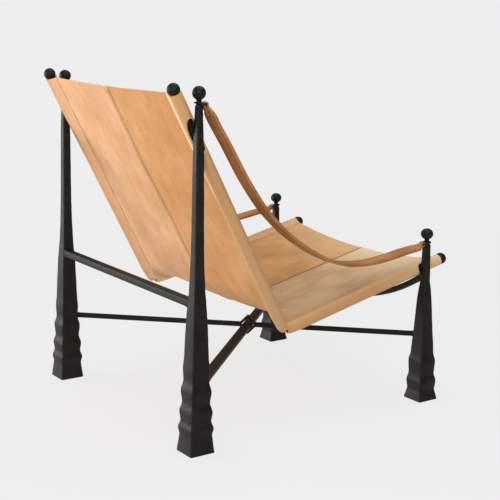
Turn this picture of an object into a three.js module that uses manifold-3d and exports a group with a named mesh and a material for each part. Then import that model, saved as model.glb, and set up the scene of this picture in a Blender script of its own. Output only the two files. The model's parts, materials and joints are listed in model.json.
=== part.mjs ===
// Forged iron lounge chair with a leather sling seat and two hanging leather arm straps.
// Millimetres, +Z up. The sitter faces -Y, and the sitter's right side is -X.
// Heights are above the floor. Places along Y are measured from the rear posts
// until the last lines, which centre the chair over its own footprint.

import * as THREE from 'three';
import { mergeVertices } from 'three/addons/utils/BufferGeometryUtils.js';
import Module from 'manifold-3d';

const wasm = await Module();
wasm.setup();

// Driving dimensions of the whole chair
const postSpacing = 660; // side to side, between post centres
const postDepth = 703; // rear posts to front posts, between post centres
const fitGap = 0.3; // between pieces that are cut to each other
const cutOverrun = 6; // how far a cutting tool runs past the face it opens

// Rear and front posts, forged from square bar. Heights are where each part of the post ends.
const rearPost = {
  footHalf: 33, rippleTop: 230, shoulderHeight: 796, y: 0,
  // height as a share of rippleTop, half width as a share of footHalf
  rippleShares: [[0, 1], [0.18, 0.864], [0.25, 0.948], [0.325, 0.821], [0.42, 0.882],
    [0.51, 0.742], [0.63, 0.812], [0.74, 0.673], [0.86, 0.706], [1, 0.645]],
  // height as a share of the shaft above the ripples, half width as a share of its foot
  shaftShares: [[0.08, 0.94], [0.175, 0.84], [0.26, 0.69], [0.35, 0.6], [0.47, 0.545], [0.81, 0.475],
    [0.95, 0.37], [1, 0.34]],
};
const frontPost = {
  footHalf: 32, rippleTop: 152, shoulderHeight: 413, y: -postDepth,
  rippleShares: [[0, 1], [0.18, 0.819], [0.32, 0.888], [0.46, 0.766], [0.67, 0.806],
    [0.84, 0.681], [1, 0.647]],
  shaftShares: [[0.12, 0.903], [0.37, 0.768], [0.467, 0.7], [0.55, 0.6], [0.63, 0.485], [1, 0.4]],
};
const bevelShareAtFoot = 0.05; // corner bevel as a share of the post's full width
const bevelShareAtShaft = 0.11;
const drawnOutShare = 0.5; // how far up the post above its ripples the corners reach that bevel
const stepsPerRipple = 4;

// Ball finials, each screwed into the top of its post
const finialNeckRadius = 6.5;
const finialTenonRadius = 4;
const finialTenonLength = 18;
const rearBall = { radius: 15.6, halfHeight: 15.6, centreAboveShoulder: 28.6 };
const frontBall = { radius: 16.2, halfHeight: 14.2, centreAboveShoulder: 28.4 };

// Loose iron rings that carry the arm straps
const ringWireRadius = 2;
const ringRadius = 12.3; // to the middle of the wire
const ringShift = 3.5; // the pull of the strap holds each ring against the far side of its neck
const ringCentreAboveShoulder = 5.2;
const ringTiltDegrees = 10;

// Side rails: one round bar a side, bent to carry the back and the seat
const railX = 310;
const railRadius = 8;
const railBelowShoulder = 65; // where the rail passes each post
const railCornerHeight = 243; // where the lines of the back and the seat would meet
const railCornerShare = 0.37; // how far forward that is, of the depth between the posts
const backOverhang = 114; // from the rear post to the ball at the top end
const seatOverhang = 73; // from the front post to the ball at the front end
const railBendRadius = 40;
const railBallRadius = 15;
const railSeatInBall = 9; // how far the bar goes past the middle of the ball's mouth

// Forged saddles that join each rail to a post
const saddleHalfWidth = 7.5;
const rearSaddleHalfLength = 26;
const frontSaddleHalfLength = 9;

// Straight bars
const crossBar = { halfWidth: 9.5, halfHeight: 9.5, height: 348, y: 4, flare: 2.5, flareLength: 26 };
const squareDiagonal = { halfWidth: 6, halfHeight: 6, height: 170, flare: 3.5, flareLength: 18 };
const flatDiagonal = { halfWidth: 12.5, halfHeight: 5, height: 169, flare: 1, flareLength: 18 };
const barSeatInPost = 8;
const barBevelShare = 0.12; // of the bar's thickness
// distance from the post as a share of the flare's length, growth as a share of the flare
const flareShares = [[0.3, 0.42], [0.6, 0.12], [1, 0]];

// Pierced eye: the square diagonal is slit, drifted open to a diamond, and threaded by the flat one
const eyeHalfHeight = 18.5; // inside
const eyeWall = 6; // half the bar that was slit
const eyeTipShare = 0.06; // how much of the diamond's upper and lower points is flat

// Bow bar between the front posts, hanging below the edge of the seat
const bowBevelShare = 0.24; // the bow is rounded off more than the straight bars
const bow = { half: 7.5, endBelowRail: 15, sag: 109, flare: 1, flareShare: 0.12 };

// Leather sling
const leather = 3;
const sleeveRadius = 15;
const sheetEdgeRise = 3; // the sheet leaves the sleeve just above the rail's centre line
const backTopSag = 8;
const backLowSag = 13;
const seatSag = 28;
const seatSagShares = [0.35, 1.1]; // of the bend: where the seat's deeper sag starts and is full
const sagPower = 2.4; // the sheet is flatter in the middle than a parabola
const middleBendRadius = 150; // the leather cuts across the rails' sharp bend
const bendBlendLength = 28;
const sleeveGapToBall = 10; // from the ball's centre to the cut end of the sleeve
const hemWidth = 24;
const sleeveBlend = 6; // the sheet's surface meets the sleeve this far inboard of it
const sheetShares = [0.32, 0.56, 0.75, 0.87]; // across each panel, from the seam to the sleeve
const creaseShare = 0.75; // of the leather: how deep the sleeve's hollow starts under the sheet
const wrapTurnShares = [0.68, -0.7]; // half turns: the skin of the sleeve round the rail
const hollowTurnShares = [0.72, -0.78]; // half turns: the hollow inside it
const wrapSteps = 10;
const lapHalf = 7;
const lapRun = 14;
const rearNotchLength = 96;
const frontNotchLength = 36;
const notchDepthPastRail = 2;
const bendSlitWidth = 10;
const bendSlitStart = 14; // along the seat from the end of the bend

// Leather arm straps, folded double
const strapWidth = 42;
const strapThickness = 7.5;
const strapTongueWidth = 12;
const strapLoopWall = 3;
const strapTaperLength = 34;
const strapEdgeShare = 0.6; // rounding of the strap's edges, of half its thickness
const loopLeaveShares = [0.8, 0.6]; // how the strap leaves the rear ring: forward, and down
const loopArriveShares = [1, 0.1]; // how it comes up to the front one

// Colours
const iron = { color: 0x24211f, roughness: 0.62, metalness: 0.85 };
const slingLeather = { color: 0xc98f5c, roughness: 0.6, metalness: 0 };
const strapLeather = { color: 0x8f5f36, roughness: 0.55, metalness: 0 };

const sides = { right: -1, left: 1 };
const posts = { rear: rearPost, front: frontPost };
const postX = postSpacing / 2;

// Geometry helpers

function flipIfInsideOut(positions, faces) {
  const a = new THREE.Vector3();
  const b = new THREE.Vector3();
  const c = new THREE.Vector3();
  let volume = 0;
  for (let i = 0; i < faces.length; i += 3) {
    a.fromArray(positions, faces[i] * 3);
    b.fromArray(positions, faces[i + 1] * 3);
    c.fromArray(positions, faces[i + 2] * 3);
    volume += a.dot(b.cross(c));
  }
  if (volume < 0) faces.reverse();
}

// A closed skin over sections set along a path. Each station is { outline, place }:
// outline is a list of 2-D points, and place(point) sets one of them in space.
function loft(stations) {
  const count = stations[0].outline.length;
  const positions = [];
  for (const { outline, place } of stations) {
    for (const point of outline) positions.push(...place(point).toArray());
  }
  const faces = [];
  for (let s = 0; s < stations.length - 1; s += 1) {
    for (let i = 0; i < count; i += 1) {
      const a = s * count + i;
      const b = s * count + ((i + 1) % count);
      faces.push(a, b, b + count, a, b + count, a + count);
    }
  }
  const last = (stations.length - 1) * count;
  for (const [i, j, k] of THREE.ShapeUtils.triangulateShape(stations[0].outline, [])) {
    const turned = THREE.ShapeUtils.isClockWise(stations[0].outline);
    faces.push(i, turned ? j : k, turned ? k : j);
    faces.push(last + i, last + (turned ? k : j), last + (turned ? j : k));
  }
  flipIfInsideOut(positions, faces);
  const geometry = new THREE.BufferGeometry();
  geometry.setAttribute('position', new THREE.Float32BufferAttribute(positions, 3));
  geometry.setIndex(faces);
  return geometry;
}

function toSolid(geometry) {
  const plain = geometry.clone();
  plain.deleteAttribute('normal');
  plain.deleteAttribute('uv');
  const merged = mergeVertices(plain);
  return new wasm.Manifold(new wasm.Mesh({
    numProp: 3,
    vertProperties: new Float32Array(merged.attributes.position.array),
    triVerts: new Uint32Array(merged.index.array),
  }));
}

function toGeometry(solid) {
  const { vertProperties, triVerts } = solid.getMesh();
  const geometry = new THREE.BufferGeometry();
  geometry.setAttribute('position', new THREE.BufferAttribute(vertProperties, 3));
  geometry.setIndex(new THREE.BufferAttribute(triVerts, 1));
  return geometry;
}

const cut = (geometry, ...tools) => toGeometry(
  tools.reduce((solid, tool) => solid.subtract(toSolid(tool)), toSolid(geometry)));

function bevelledRectangle(halfU, halfV, bevel) {
  return [[halfU, bevel - halfV], [halfU, halfV - bevel], [halfU - bevel, halfV], [bevel - halfU, halfV],
    [-halfU, halfV - bevel], [-halfU, bevel - halfV], [bevel - halfU, -halfV], [halfU - bevel, -halfV],
  ].map(([u, v]) => new THREE.Vector2(u, v));
}

function circle(radius, count) {
  return Array.from({ length: count }, (_, i) => {
    const angle = (i + 0.5) / count * 2 * Math.PI;
    return new THREE.Vector2(radius * Math.cos(angle), radius * Math.sin(angle));
  });
}

const mix = THREE.MathUtils.lerp;
const ease = (t) => (1 - Math.cos(Math.PI * t)) / 2;

// Posts: a square foot, hammered ripples, and a shaft whose corners are drawn down to an octagon

function postHalfWidths(post) {
  const rows = [];
  const shares = post.rippleShares;
  for (let i = 0; i < shares.length - 1; i += 1) {
    for (let step = 0; step < stepsPerRipple; step += 1) {
      const t = step / stepsPerRipple;
      rows.push([mix(shares[i][0], shares[i + 1][0], t) * post.rippleTop,
        mix(shares[i][1], shares[i + 1][1], i === 0 ? t : ease(t)) * post.footHalf]);
    }
  }
  const shaftHalf = shares.at(-1)[1] * post.footHalf;
  rows.push([post.rippleTop, shaftHalf]);
  for (const [heightShare, widthShare] of post.shaftShares) {
    rows.push([mix(post.rippleTop, post.shoulderHeight, heightShare), shaftHalf * widthShare]);
  }
  return rows;
}

function postHalfWidthAt(post, height) {
  const rows = postHalfWidths(post);
  const above = rows.findIndex(([z]) => z >= height);
  const [[lowZ, lowHalf], [highZ, highHalf]] = [rows[above - 1], rows[above]];
  return mix(lowHalf, highHalf, (height - lowZ) / (highZ - lowZ));
}

function postSkin(post, x, grow) {
  const drawnOutHeight = mix(post.rippleTop, post.shoulderHeight, drawnOutShare);
  return loft(postHalfWidths(post).map(([z, half]) => {
    const drawn = THREE.MathUtils.smoothstep(z, post.rippleTop, drawnOutHeight);
    const bevel = 2 * half * mix(bevelShareAtFoot, bevelShareAtShaft, drawn);
    return {
      outline: bevelledRectangle(half + grow, half + grow, bevel),
      place: (p) => new THREE.Vector3(x + p.x, post.y + p.y, z),
    };
  }));
}

function makePost(post, side) {
  const hole = new THREE.CylinderGeometry(
    finialTenonRadius + fitGap, finialTenonRadius + fitGap, finialTenonLength + fitGap + cutOverrun, 16);
  hole.rotateX(Math.PI / 2);
  hole.translate(side * postX, post.y, post.shoulderHeight + (cutOverrun - finialTenonLength - fitGap) / 2);
  return cut(postSkin(post, side * postX, 0), hole);
}

// Finials: a ball on a waisted neck, with a tenon below

function makeFinial(post, ball, side) {
  const outline = [
    [0, -finialTenonLength], [finialTenonRadius, -finialTenonLength], [finialTenonRadius, 0],
    [finialNeckRadius, 0], [finialNeckRadius, ball.centreAboveShoulder - ball.halfHeight],
  ].map(([r, z]) => new THREE.Vector2(r, z));
  const lowest = Math.acos(finialNeckRadius / ball.radius) * -1;
  const ballSteps = 9;
  for (let i = 0; i <= ballSteps; i += 1) {
    const angle = mix(lowest, Math.PI / 2, i / ballSteps);
    outline.push(new THREE.Vector2(
      i === ballSteps ? 0 : ball.radius * Math.cos(angle),
      ball.centreAboveShoulder + ball.halfHeight * Math.sin(angle)));
  }
  const geometry = new THREE.LatheGeometry(outline, 16);
  geometry.rotateX(Math.PI / 2);
  geometry.translate(side * postX, post.y, post.shoulderHeight);
  return geometry;
}

// Strap rings, tilted down towards the strap. inward is -1 where the strap leaves towards -Y.

const ringCentre = (post, inward, side) => new THREE.Vector3(
  side * postX, post.y + inward * ringShift, post.shoulderHeight + ringCentreAboveShoulder);

function makeRing(post, inward, side) {
  const geometry = new THREE.TorusGeometry(ringRadius, ringWireRadius, 6, 24);
  geometry.rotateX(-inward * THREE.MathUtils.degToRad(ringTiltDegrees));
  geometry.translate(...ringCentre(post, inward, side).toArray());
  return geometry;
}

// Paths in a side plane. A rail runs straight down the back, round one bend, and along the seat.

const railAtPost = (post) => new THREE.Vector2(post.y, post.shoulderHeight - railBelowShoulder);
const railCornerPoint = new THREE.Vector2(rearPost.y - railCornerShare * postDepth, railCornerHeight);
const backDirection = railCornerPoint.clone().sub(railAtPost(rearPost)).normalize();
const seatDirection = railAtPost(frontPost).sub(railCornerPoint).normalize();
const railTopPoint = railAtPost(rearPost).addScaledVector(backDirection, -backOverhang);
const railFrontPoint = railAtPost(frontPost).addScaledVector(seatDirection, seatOverhang);
const bendAngle = Math.acos(backDirection.dot(seatDirection));

// Towards the sitter, square to a direction of travel
const sitterSide = (direction) => new THREE.Vector2(direction.y, -direction.x);

function turned(direction, angle) {
  return direction.clone().rotateAround(new THREE.Vector2(), -angle);
}

// Stations { point, direction } with counts along the back, the bend and the seat
function bentPath(radius, startTrim, endTrim, backCount, bendCount, seatCount) {
  const tangent = radius * Math.tan(bendAngle / 2);
  const backStart = railTopPoint.clone().addScaledVector(backDirection, startTrim);
  const backEnd = railCornerPoint.clone().addScaledVector(backDirection, -tangent);
  const seatStart = railCornerPoint.clone().addScaledVector(seatDirection, tangent);
  const seatEnd = railFrontPoint.clone().addScaledVector(seatDirection, -endTrim);
  const bendCentre = backEnd.clone().addScaledVector(sitterSide(backDirection), radius);
  const path = [];
  for (let i = 0; i < backCount; i += 1) {
    path.push({ point: backStart.clone().lerp(backEnd, i / backCount), direction: backDirection });
  }
  for (let i = 0; i <= bendCount; i += 1) {
    const direction = turned(backDirection, bendAngle * i / bendCount);
    path.push({ point: bendCentre.clone().addScaledVector(sitterSide(direction), -radius), direction });
  }
  for (let i = 1; i <= seatCount; i += 1) {
    path.push({ point: seatStart.clone().lerp(seatEnd, i / seatCount), direction: seatDirection });
  }
  return path;
}

function railSkin(x, grow, trim) {
  const path = bentPath(railBendRadius, trim, trim, 2, 9, 2);
  return loft(path.map(({ point, direction }) => {
    const normal = sitterSide(direction);
    return {
      outline: circle(railRadius + grow, 16),
      place: (p) => new THREE.Vector3(x + p.x, point.x + normal.x * p.y, point.y + normal.y * p.y),
    };
  }));
}

const ballMouth = Math.sqrt(railBallRadius ** 2 - (railRadius + fitGap) ** 2);

function makeRailBall(end, outward, side) {
  const ball = new THREE.SphereGeometry(railBallRadius, 16, 11);
  const centre = new THREE.Vector3(side * railX, end.x, end.y);
  const inwards = new THREE.Vector3(0, -outward.x, -outward.y);
  const socket = new THREE.CylinderGeometry(
    railRadius + fitGap, railRadius + fitGap, railSeatInBall + fitGap + cutOverrun, 20);
  socket.applyQuaternion(new THREE.Quaternion().setFromUnitVectors(new THREE.Vector3(0, 1, 0), inwards));
  ball.translate(...centre.toArray());
  const socketMiddle = ballMouth + (cutOverrun - railSeatInBall - fitGap) / 2;
  socket.translate(...centre.clone().addScaledVector(inwards, socketMiddle).toArray());
  return cut(ball, socket);
}

// Saddles: a forged lug, hollowed to the rail on one side and to the post on the other

function makeSaddle(post, halfLength, direction, side) {
  const height = railAtPost(post).y;
  const shape = new THREE.Shape();
  const straight = halfLength - saddleHalfWidth;
  shape.absarc(straight, 0, saddleHalfWidth, -Math.PI / 2, Math.PI / 2);
  shape.absarc(-straight, 0, saddleHalfWidth, Math.PI / 2, Math.PI * 1.5);
  const face = postX - postHalfWidthAt(post, height);
  const depth = face - railX;
  const lug = new THREE.ExtrudeGeometry(shape, { depth, bevelEnabled: false, curveSegments: 6 });
  lug.applyMatrix4(new THREE.Matrix4().makeBasis(
    new THREE.Vector3(0, direction.x, direction.y),
    new THREE.Vector3(0, -direction.y, direction.x),
    new THREE.Vector3(1, 0, 0)));
  lug.translate(railX, post.y, height);
  if (side < 0) lug.applyMatrix4(new THREE.Matrix4().makeScale(-1, 1, 1));
  const solid = lug.index ? lug.toNonIndexed() : lug;
  const positions = Array.from(solid.attributes.position.array);
  const faces = positions.map((_, i) => i).slice(0, positions.length / 3);
  flipIfInsideOut(positions, faces);
  solid.setIndex(faces);
  return cut(solid, railSkin(side * railX, fitGap, railBallRadius), postSkin(post, side * postX, fitGap));
}

// Straight bars with flared ends. start and end are plan points [x, y] on the posts' faces.

function barFrame(start, end, height) {
  const from = new THREE.Vector3(...start, height);
  const to = new THREE.Vector3(...end, height);
  const along = to.clone().sub(from).normalize();
  const across = new THREE.Vector3(-along.y, along.x, 0);
  const length = from.distanceTo(to);
  const at = (distance) => from.clone().addScaledVector(along, distance);
  return { at, along, across, length };
}

// widths lists [distance, halfWidth, halfHeight] from the start face
function barSkin(frame, widths) {
  return loft(widths.map(([distance, halfWidth, halfHeight]) => ({
    outline: bevelledRectangle(halfWidth, halfHeight, 2 * Math.min(halfWidth, halfHeight) * barBevelShare),
    place: (p) => frame.at(distance).addScaledVector(frame.across, p.x).add(new THREE.Vector3(0, 0, p.y)),
  })));
}

// Each end widens where it meets its post, and runs a little way into the seat cut for it
function flaredWidths(bar, length) {
  const end = (sign, at) => [[-barSeatInPost / bar.flareLength, 1], ...flareShares]
    .map(([run, growth]) => [at + sign * bar.flareLength * run,
      bar.halfWidth + bar.flare * growth, bar.halfHeight + bar.flare * growth]);
  return [...end(1, 0), ...end(-1, length).reverse()];
}

// A diagonal runs from the front face of a rear post to the inner face of the opposite front post
function diagonalFrame(bar, side) {
  const rearFace = -postHalfWidthAt(rearPost, bar.height);
  const frontFace = postX - postHalfWidthAt(frontPost, bar.height);
  return barFrame([side * postX, rearFace], [-side * frontFace, -postDepth], bar.height);
}

function makeFlatDiagonal() {
  const frame = diagonalFrame(flatDiagonal, sides.right);
  return cut(barSkin(frame, flaredWidths(flatDiagonal, frame.length)),
    postSkin(rearPost, sides.right * postX, fitGap), postSkin(frontPost, sides.left * postX, fitGap));
}

// A diamond prism round the crossing, with its upper and lower points hammered flat
function diamondPrism(frame, middle, halfLength, halfHeight, halfDepth) {
  const tipRun = halfLength * eyeTipShare;
  const tipHeight = halfHeight * (1 - eyeTipShare);
  const outline = [[halfLength, 0], [tipRun, tipHeight], [-tipRun, tipHeight],
    [-halfLength, 0], [-tipRun, -tipHeight], [tipRun, -tipHeight],
  ].map(([u, v]) => new THREE.Vector2(u, v));
  return loft([-halfDepth, halfDepth].map((depth) => ({
    outline,
    place: (p) => frame.at(middle).addScaledVector(frame.across, depth)
      .addScaledVector(frame.along, p.x).add(new THREE.Vector3(0, 0, p.y)),
  })));
}

// The hole is as long as lets the four edges of the flat bar touch the walls of the diamond
function makeSquareDiagonal() {
  const bar = squareDiagonal;
  const frame = diagonalFrame(bar, sides.left);
  const middle = postX / (postX + postX - postHalfWidthAt(frontPost, bar.height)) * frame.length;
  const edgeShare = (flatDiagonal.halfHeight + fitGap) / eyeHalfHeight;
  const eyeHalfLength = (flatDiagonal.halfWidth + fitGap) / (1 - edgeShare);
  const grown = 1 + eyeWall * Math.hypot(1 / eyeHalfLength, 1 / eyeHalfHeight);
  const outer = diamondPrism(
    frame, middle, eyeHalfLength * grown, eyeHalfHeight * grown, bar.halfWidth);
  const hole = diamondPrism(
    frame, middle, eyeHalfLength, eyeHalfHeight, bar.halfWidth + cutOverrun);
  const joined = toSolid(barSkin(frame, flaredWidths(bar, frame.length))).add(toSolid(outer));
  return cut(toGeometry(joined), hole,
    postSkin(rearPost, sides.left * postX, fitGap), postSkin(frontPost, sides.right * postX, fitGap));
}

function makeCrossBar() {
  const face = postX - postHalfWidthAt(rearPost, crossBar.height);
  const frame = barFrame([-face, crossBar.y], [face, crossBar.y], crossBar.height);
  return cut(barSkin(frame, flaredWidths(crossBar, frame.length)),
    postSkin(rearPost, -postX, fitGap), postSkin(rearPost, postX, fitGap));
}

function makeBowBar() {
  const endHeight = railAtPost(frontPost).y - bow.endBelowRail;
  const reach = postX - postHalfWidthAt(frontPost, endHeight) + barSeatInPost;
  const steps = 20;
  const stations = Array.from({ length: steps + 1 }, (_, i) => {
    const share = i / steps * 2 - 1;
    const slope = 2 * bow.sag * share / reach;
    const normal = new THREE.Vector3(-slope, 0, 1).normalize();
    const flare = THREE.MathUtils.smoothstep(Math.abs(share), 1 - bow.flareShare, 1);
    const half = bow.half + bow.flare * flare;
    const centre = new THREE.Vector3(share * reach, -postDepth, endHeight - bow.sag * (1 - share ** 2));
    return {
      outline: bevelledRectangle(half, half, 2 * half * bowBevelShare),
      place: (p) => centre.clone().addScaledVector(normal, p.y).add(new THREE.Vector3(0, p.x, 0)),
    };
  });
  return cut(loft(stations), postSkin(frontPost, -postX, fitGap), postSkin(frontPost, postX, fitGap));
}

// Sling: the sheet sags between the rails, cuts across their bend, and wraps each rail in a sleeve

const slingCounts = [3, 9, 3]; // stations down the back, round the bend and along the seat
const slingRailPath = bentPath(railBendRadius, sleeveGapToBall, sleeveGapToBall, ...slingCounts);
const slingMiddlePath = bentPath(middleBendRadius, sleeveGapToBall, sleeveGapToBall, ...slingCounts);
const sheetEdge = railX - sleeveRadius;

function sheetLevel(x, station) {
  const [backCount, bendCount] = slingCounts;
  const backSag = mix(backTopSag, backLowSag, Math.min(1, station / backCount));
  const round = (station - backCount) / bendCount;
  const sag = mix(backSag, seatSag, THREE.MathUtils.smoothstep(round, ...seatSagShares));
  return sheetEdgeRise - sag * Math.max(0, 1 - Math.abs(x / sheetEdge) ** sagPower);
}

// x is across the chair, and level is the distance from the rails' plane towards the sitter
function slingPoint(x, level, station, side) {
  const inboard = Math.max(0, sheetEdge - Math.abs(x));
  const blend = 1 - Math.exp(-inboard / bendBlendLength);
  const { point, direction } = slingRailPath[station];
  const base = point.clone().lerp(slingMiddlePath[station].point, blend);
  base.addScaledVector(sitterSide(direction), level);
  return new THREE.Vector3(side * x, base.x, base.y);
}

// The right panel lies on the sitter's side of the seam, and the left one laps behind it
function lapDrop(x, side) {
  if (side === sides.right) return 0;
  return (leather + fitGap) * (1 - THREE.MathUtils.smoothstep(x, lapHalf, lapHalf + lapRun));
}

function panelOutline(station, side) {
  const across = [-lapHalf, lapHalf, lapHalf + lapRun, ...sheetShares.map((share) => share * sheetEdge)];
  const level = (x) => sheetLevel(x, station) - lapDrop(x, side);
  const hemStart = sheetEdge - hemWidth;
  const top = [...across, hemStart, sheetEdge - sleeveBlend].map((x) => [x, level(x) + leather / 2]);
  const bottom = [
    ...across.map((x) => [x, level(x) - leather / 2]),
    [hemStart, level(hemStart) - leather / 2],
    [hemStart + leather / 2, level(hemStart) - leather / 2 - leather],
  ];
  const wrap = [];
  for (let i = 0; i <= wrapSteps; i += 1) {
    const angle = Math.PI * mix(...wrapTurnShares, i / wrapSteps);
    wrap.push([railX + sleeveRadius * Math.cos(angle), sleeveRadius * Math.sin(angle)]);
  }
  return [...top, ...wrap, ...bottom.reverse()].map(([x, y]) => new THREE.Vector2(x, y));
}

function sleeveHollowOutline(station) {
  const inner = sleeveRadius - leather;
  const points = [[sheetEdge - hemWidth / 2, sheetLevel(sheetEdge, station) - leather * creaseShare]];
  for (let i = 0; i <= wrapSteps; i += 1) {
    const angle = Math.PI * mix(...hollowTurnShares, i / wrapSteps);
    points.push([railX + inner * Math.cos(angle), inner * Math.sin(angle)]);
  }
  return points.map(([x, y]) => new THREE.Vector2(x, y));
}

function slingSkin(outlineAt, side, overrun) {
  const last = slingRailPath.length - 1;
  return loft(slingRailPath.map(({ direction }, station) => {
    const push = station === 0 ? -overrun : station === last ? overrun : 0;
    return {
      outline: outlineAt(station, side),
      place: (p) => {
        const point = slingPoint(p.x, p.y, station, side);
        return point.add(new THREE.Vector3(0, direction.x * push, direction.y * push));
      },
    };
  }));
}

// A half-moon cut that lets a post through the outer side of the sleeve
function notchTool(post, length, direction, side) {
  const depth = railX + sleeveRadius - (railX - notchDepthPastRail);
  const radius = ((length / 2) ** 2 + depth ** 2) / (2 * depth);
  const tool = new THREE.CylinderGeometry(radius, radius, 2 * (sleeveRadius + cutOverrun), 40);
  const normal = sitterSide(direction);
  tool.applyQuaternion(new THREE.Quaternion().setFromUnitVectors(
    new THREE.Vector3(0, 1, 0), new THREE.Vector3(0, normal.x, normal.y)));
  tool.translate(side * (railX - notchDepthPastRail + radius), post.y, railAtPost(post).y);
  return tool;
}

// The slit in front of the bend, where the sleeve of the back ends and that of the seat starts
function bendSlitTool(side) {
  const start = railCornerPoint.clone().addScaledVector(
    seatDirection, railBendRadius * Math.tan(bendAngle / 2) + bendSlitStart);
  const height = 2 * (sleeveRadius + cutOverrun);
  const tool = new THREE.BoxGeometry(sleeveRadius + cutOverrun, bendSlitWidth, height);
  tool.rotateX(-Math.atan2(seatDirection.y, -seatDirection.x));
  const middle = start.addScaledVector(seatDirection, bendSlitWidth / 2);
  tool.translate(side * (railX + (sleeveRadius + cutOverrun) / 2), middle.x, middle.y);
  return tool;
}

function makeSlingPanel(side) {
  return cut(slingSkin(panelOutline, side, 0), slingSkin(sleeveHollowOutline, side, cutOverrun),
    notchTool(rearPost, rearNotchLength, backDirection, side),
    notchTool(frontPost, frontNotchLength, seatDirection, side), bendSlitTool(side));
}

// Arm straps: the drop from the rear ring to the front one, as [share of the span, share of the drop]
const strapShares = [[0.037, 0.11], [0.081, 0.23], [0.172, 0.485], [0.264, 0.69], [0.404, 0.895],
  [0.56, 1.035], [0.68, 1.072], [0.8, 1.062], [0.9, 1.035], [0.97, 1.018]];

// Where the strap hangs from a ring: the wire's lowest point, on the side towards the strap
const ringTilt = THREE.MathUtils.degToRad(ringTiltDegrees);
const ringFront = (post, inward) => post.y + inward * (ringShift + ringRadius * Math.cos(ringTilt));
const ringLow = (post) => post.shoulderHeight + ringCentreAboveShoulder - ringRadius * Math.sin(ringTilt);

const wireBow = ringRadius - Math.sqrt(ringRadius ** 2 - (strapTongueWidth / 2) ** 2);
const loopInner = ringWireRadius + wireBow / 2 + 2 * fitGap;

function strapLoop(post, inward, outer, width, side) {
  const radius = loopInner + (outer ? strapLoopWall : 0);
  const tube = new THREE.CylinderGeometry(radius, radius, width, 20);
  tube.rotateZ(Math.PI / 2);
  tube.translate(side * postX, ringFront(post, inward) - inward * wireBow / 2, ringLow(post));
  return tube;
}

function makeStrap(side) {
  const start = new THREE.Vector2(ringFront(rearPost, -1), ringLow(rearPost));
  const end = new THREE.Vector2(ringFront(frontPost, 1), ringLow(frontPost));
  const reach = loopInner + strapLoopWall / 2;
  const between = strapShares.map(([span, drop]) => new THREE.Vector3(
    0, mix(start.x, end.x, span), mix(start.y, end.y, drop)));
  const curve = new THREE.CatmullRomCurve3([
    new THREE.Vector3(0, start.x - reach * loopLeaveShares[0], start.y - reach * loopLeaveShares[1]),
    ...between,
    new THREE.Vector3(0, end.x + reach * loopArriveShares[0], end.y - reach * loopArriveShares[1]),
  ], false, 'centripetal');
  const length = curve.getLength();
  const steps = 26;
  const stations = Array.from({ length: steps + 1 }, (_, i) => {
    const share = i / steps;
    const point = curve.getPointAt(share);
    const tangent = curve.getTangentAt(share);
    const fromEnd = Math.min(share, 1 - share) * length;
    const opened = THREE.MathUtils.smoothstep(fromEnd, 0, strapTaperLength);
    const half = mix(strapTongueWidth, strapWidth, opened) / 2;
    const thick = mix(strapLoopWall, strapThickness, opened) / 2;
    const normal = new THREE.Vector3(0, tangent.z, -tangent.y);
    return {
      outline: bevelledRectangle(half, thick, thick * strapEdgeShare),
      place: (p) => new THREE.Vector3(side * postX + p.x, 0, 0).add(point).addScaledVector(normal, p.y),
    };
  });
  const width = strapTongueWidth;
  const joined = toSolid(loft(stations))
    .add(toSolid(strapLoop(rearPost, -1, true, width, side)))
    .add(toSolid(strapLoop(frontPost, 1, true, width, side)));
  return cut(toGeometry(joined), strapLoop(rearPost, -1, false, width + cutOverrun, side),
    strapLoop(frontPost, 1, false, width + cutOverrun, side));
}

// Assembly

const chair = new THREE.Group();

function addPiece(name, geometry, finish) {
  const mesh = new THREE.Mesh(geometry, new THREE.MeshStandardMaterial(finish));
  mesh.name = name;
  chair.add(mesh);
}

for (const [sideName, side] of Object.entries(sides)) {
  for (const [postName, post] of Object.entries(posts)) {
    const inward = postName === 'rear' ? -1 : 1;
    const ball = postName === 'rear' ? rearBall : frontBall;
    addPiece(`post_${postName}_${sideName}`, makePost(post, side), iron);
    addPiece(`finial_${postName}_${sideName}`, makeFinial(post, ball, side), iron);
    addPiece(`strap_ring_${postName}_${sideName}`, makeRing(post, inward, side), iron);
  }
  addPiece(`side_rail_${sideName}`, railSkin(side * railX, 0, ballMouth - railSeatInBall), iron);
  addPiece(`rail_ball_top_${sideName}`,
    makeRailBall(railTopPoint, backDirection.clone().negate(), side), iron);
  addPiece(`rail_ball_front_${sideName}`, makeRailBall(railFrontPoint, seatDirection, side), iron);
  addPiece(`saddle_rear_${sideName}`,
    makeSaddle(rearPost, rearSaddleHalfLength, backDirection, side), iron);
  addPiece(`saddle_front_${sideName}`,
    makeSaddle(frontPost, frontSaddleHalfLength, seatDirection, side), iron);
  addPiece(`sling_panel_${sideName}`, makeSlingPanel(side), slingLeather);
  addPiece(`arm_strap_${sideName}`, makeStrap(side), strapLeather);
}
addPiece('rear_cross_bar', makeCrossBar(), iron);
addPiece('square_diagonal', makeSquareDiagonal(), iron);
addPiece('flat_diagonal', makeFlatDiagonal(), iron);
addPiece('front_bow_bar', makeBowBar(), iron);

const rearmost = railTopPoint.x + railBallRadius;
const foremost = railFrontPoint.x - railBallRadius;
chair.position.y = -(rearmost + foremost) / 2;

export default chair;
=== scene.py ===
import json
import math

import bmesh
import bpy
import numpy as np
from mathutils import Matrix, Vector, noise

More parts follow.
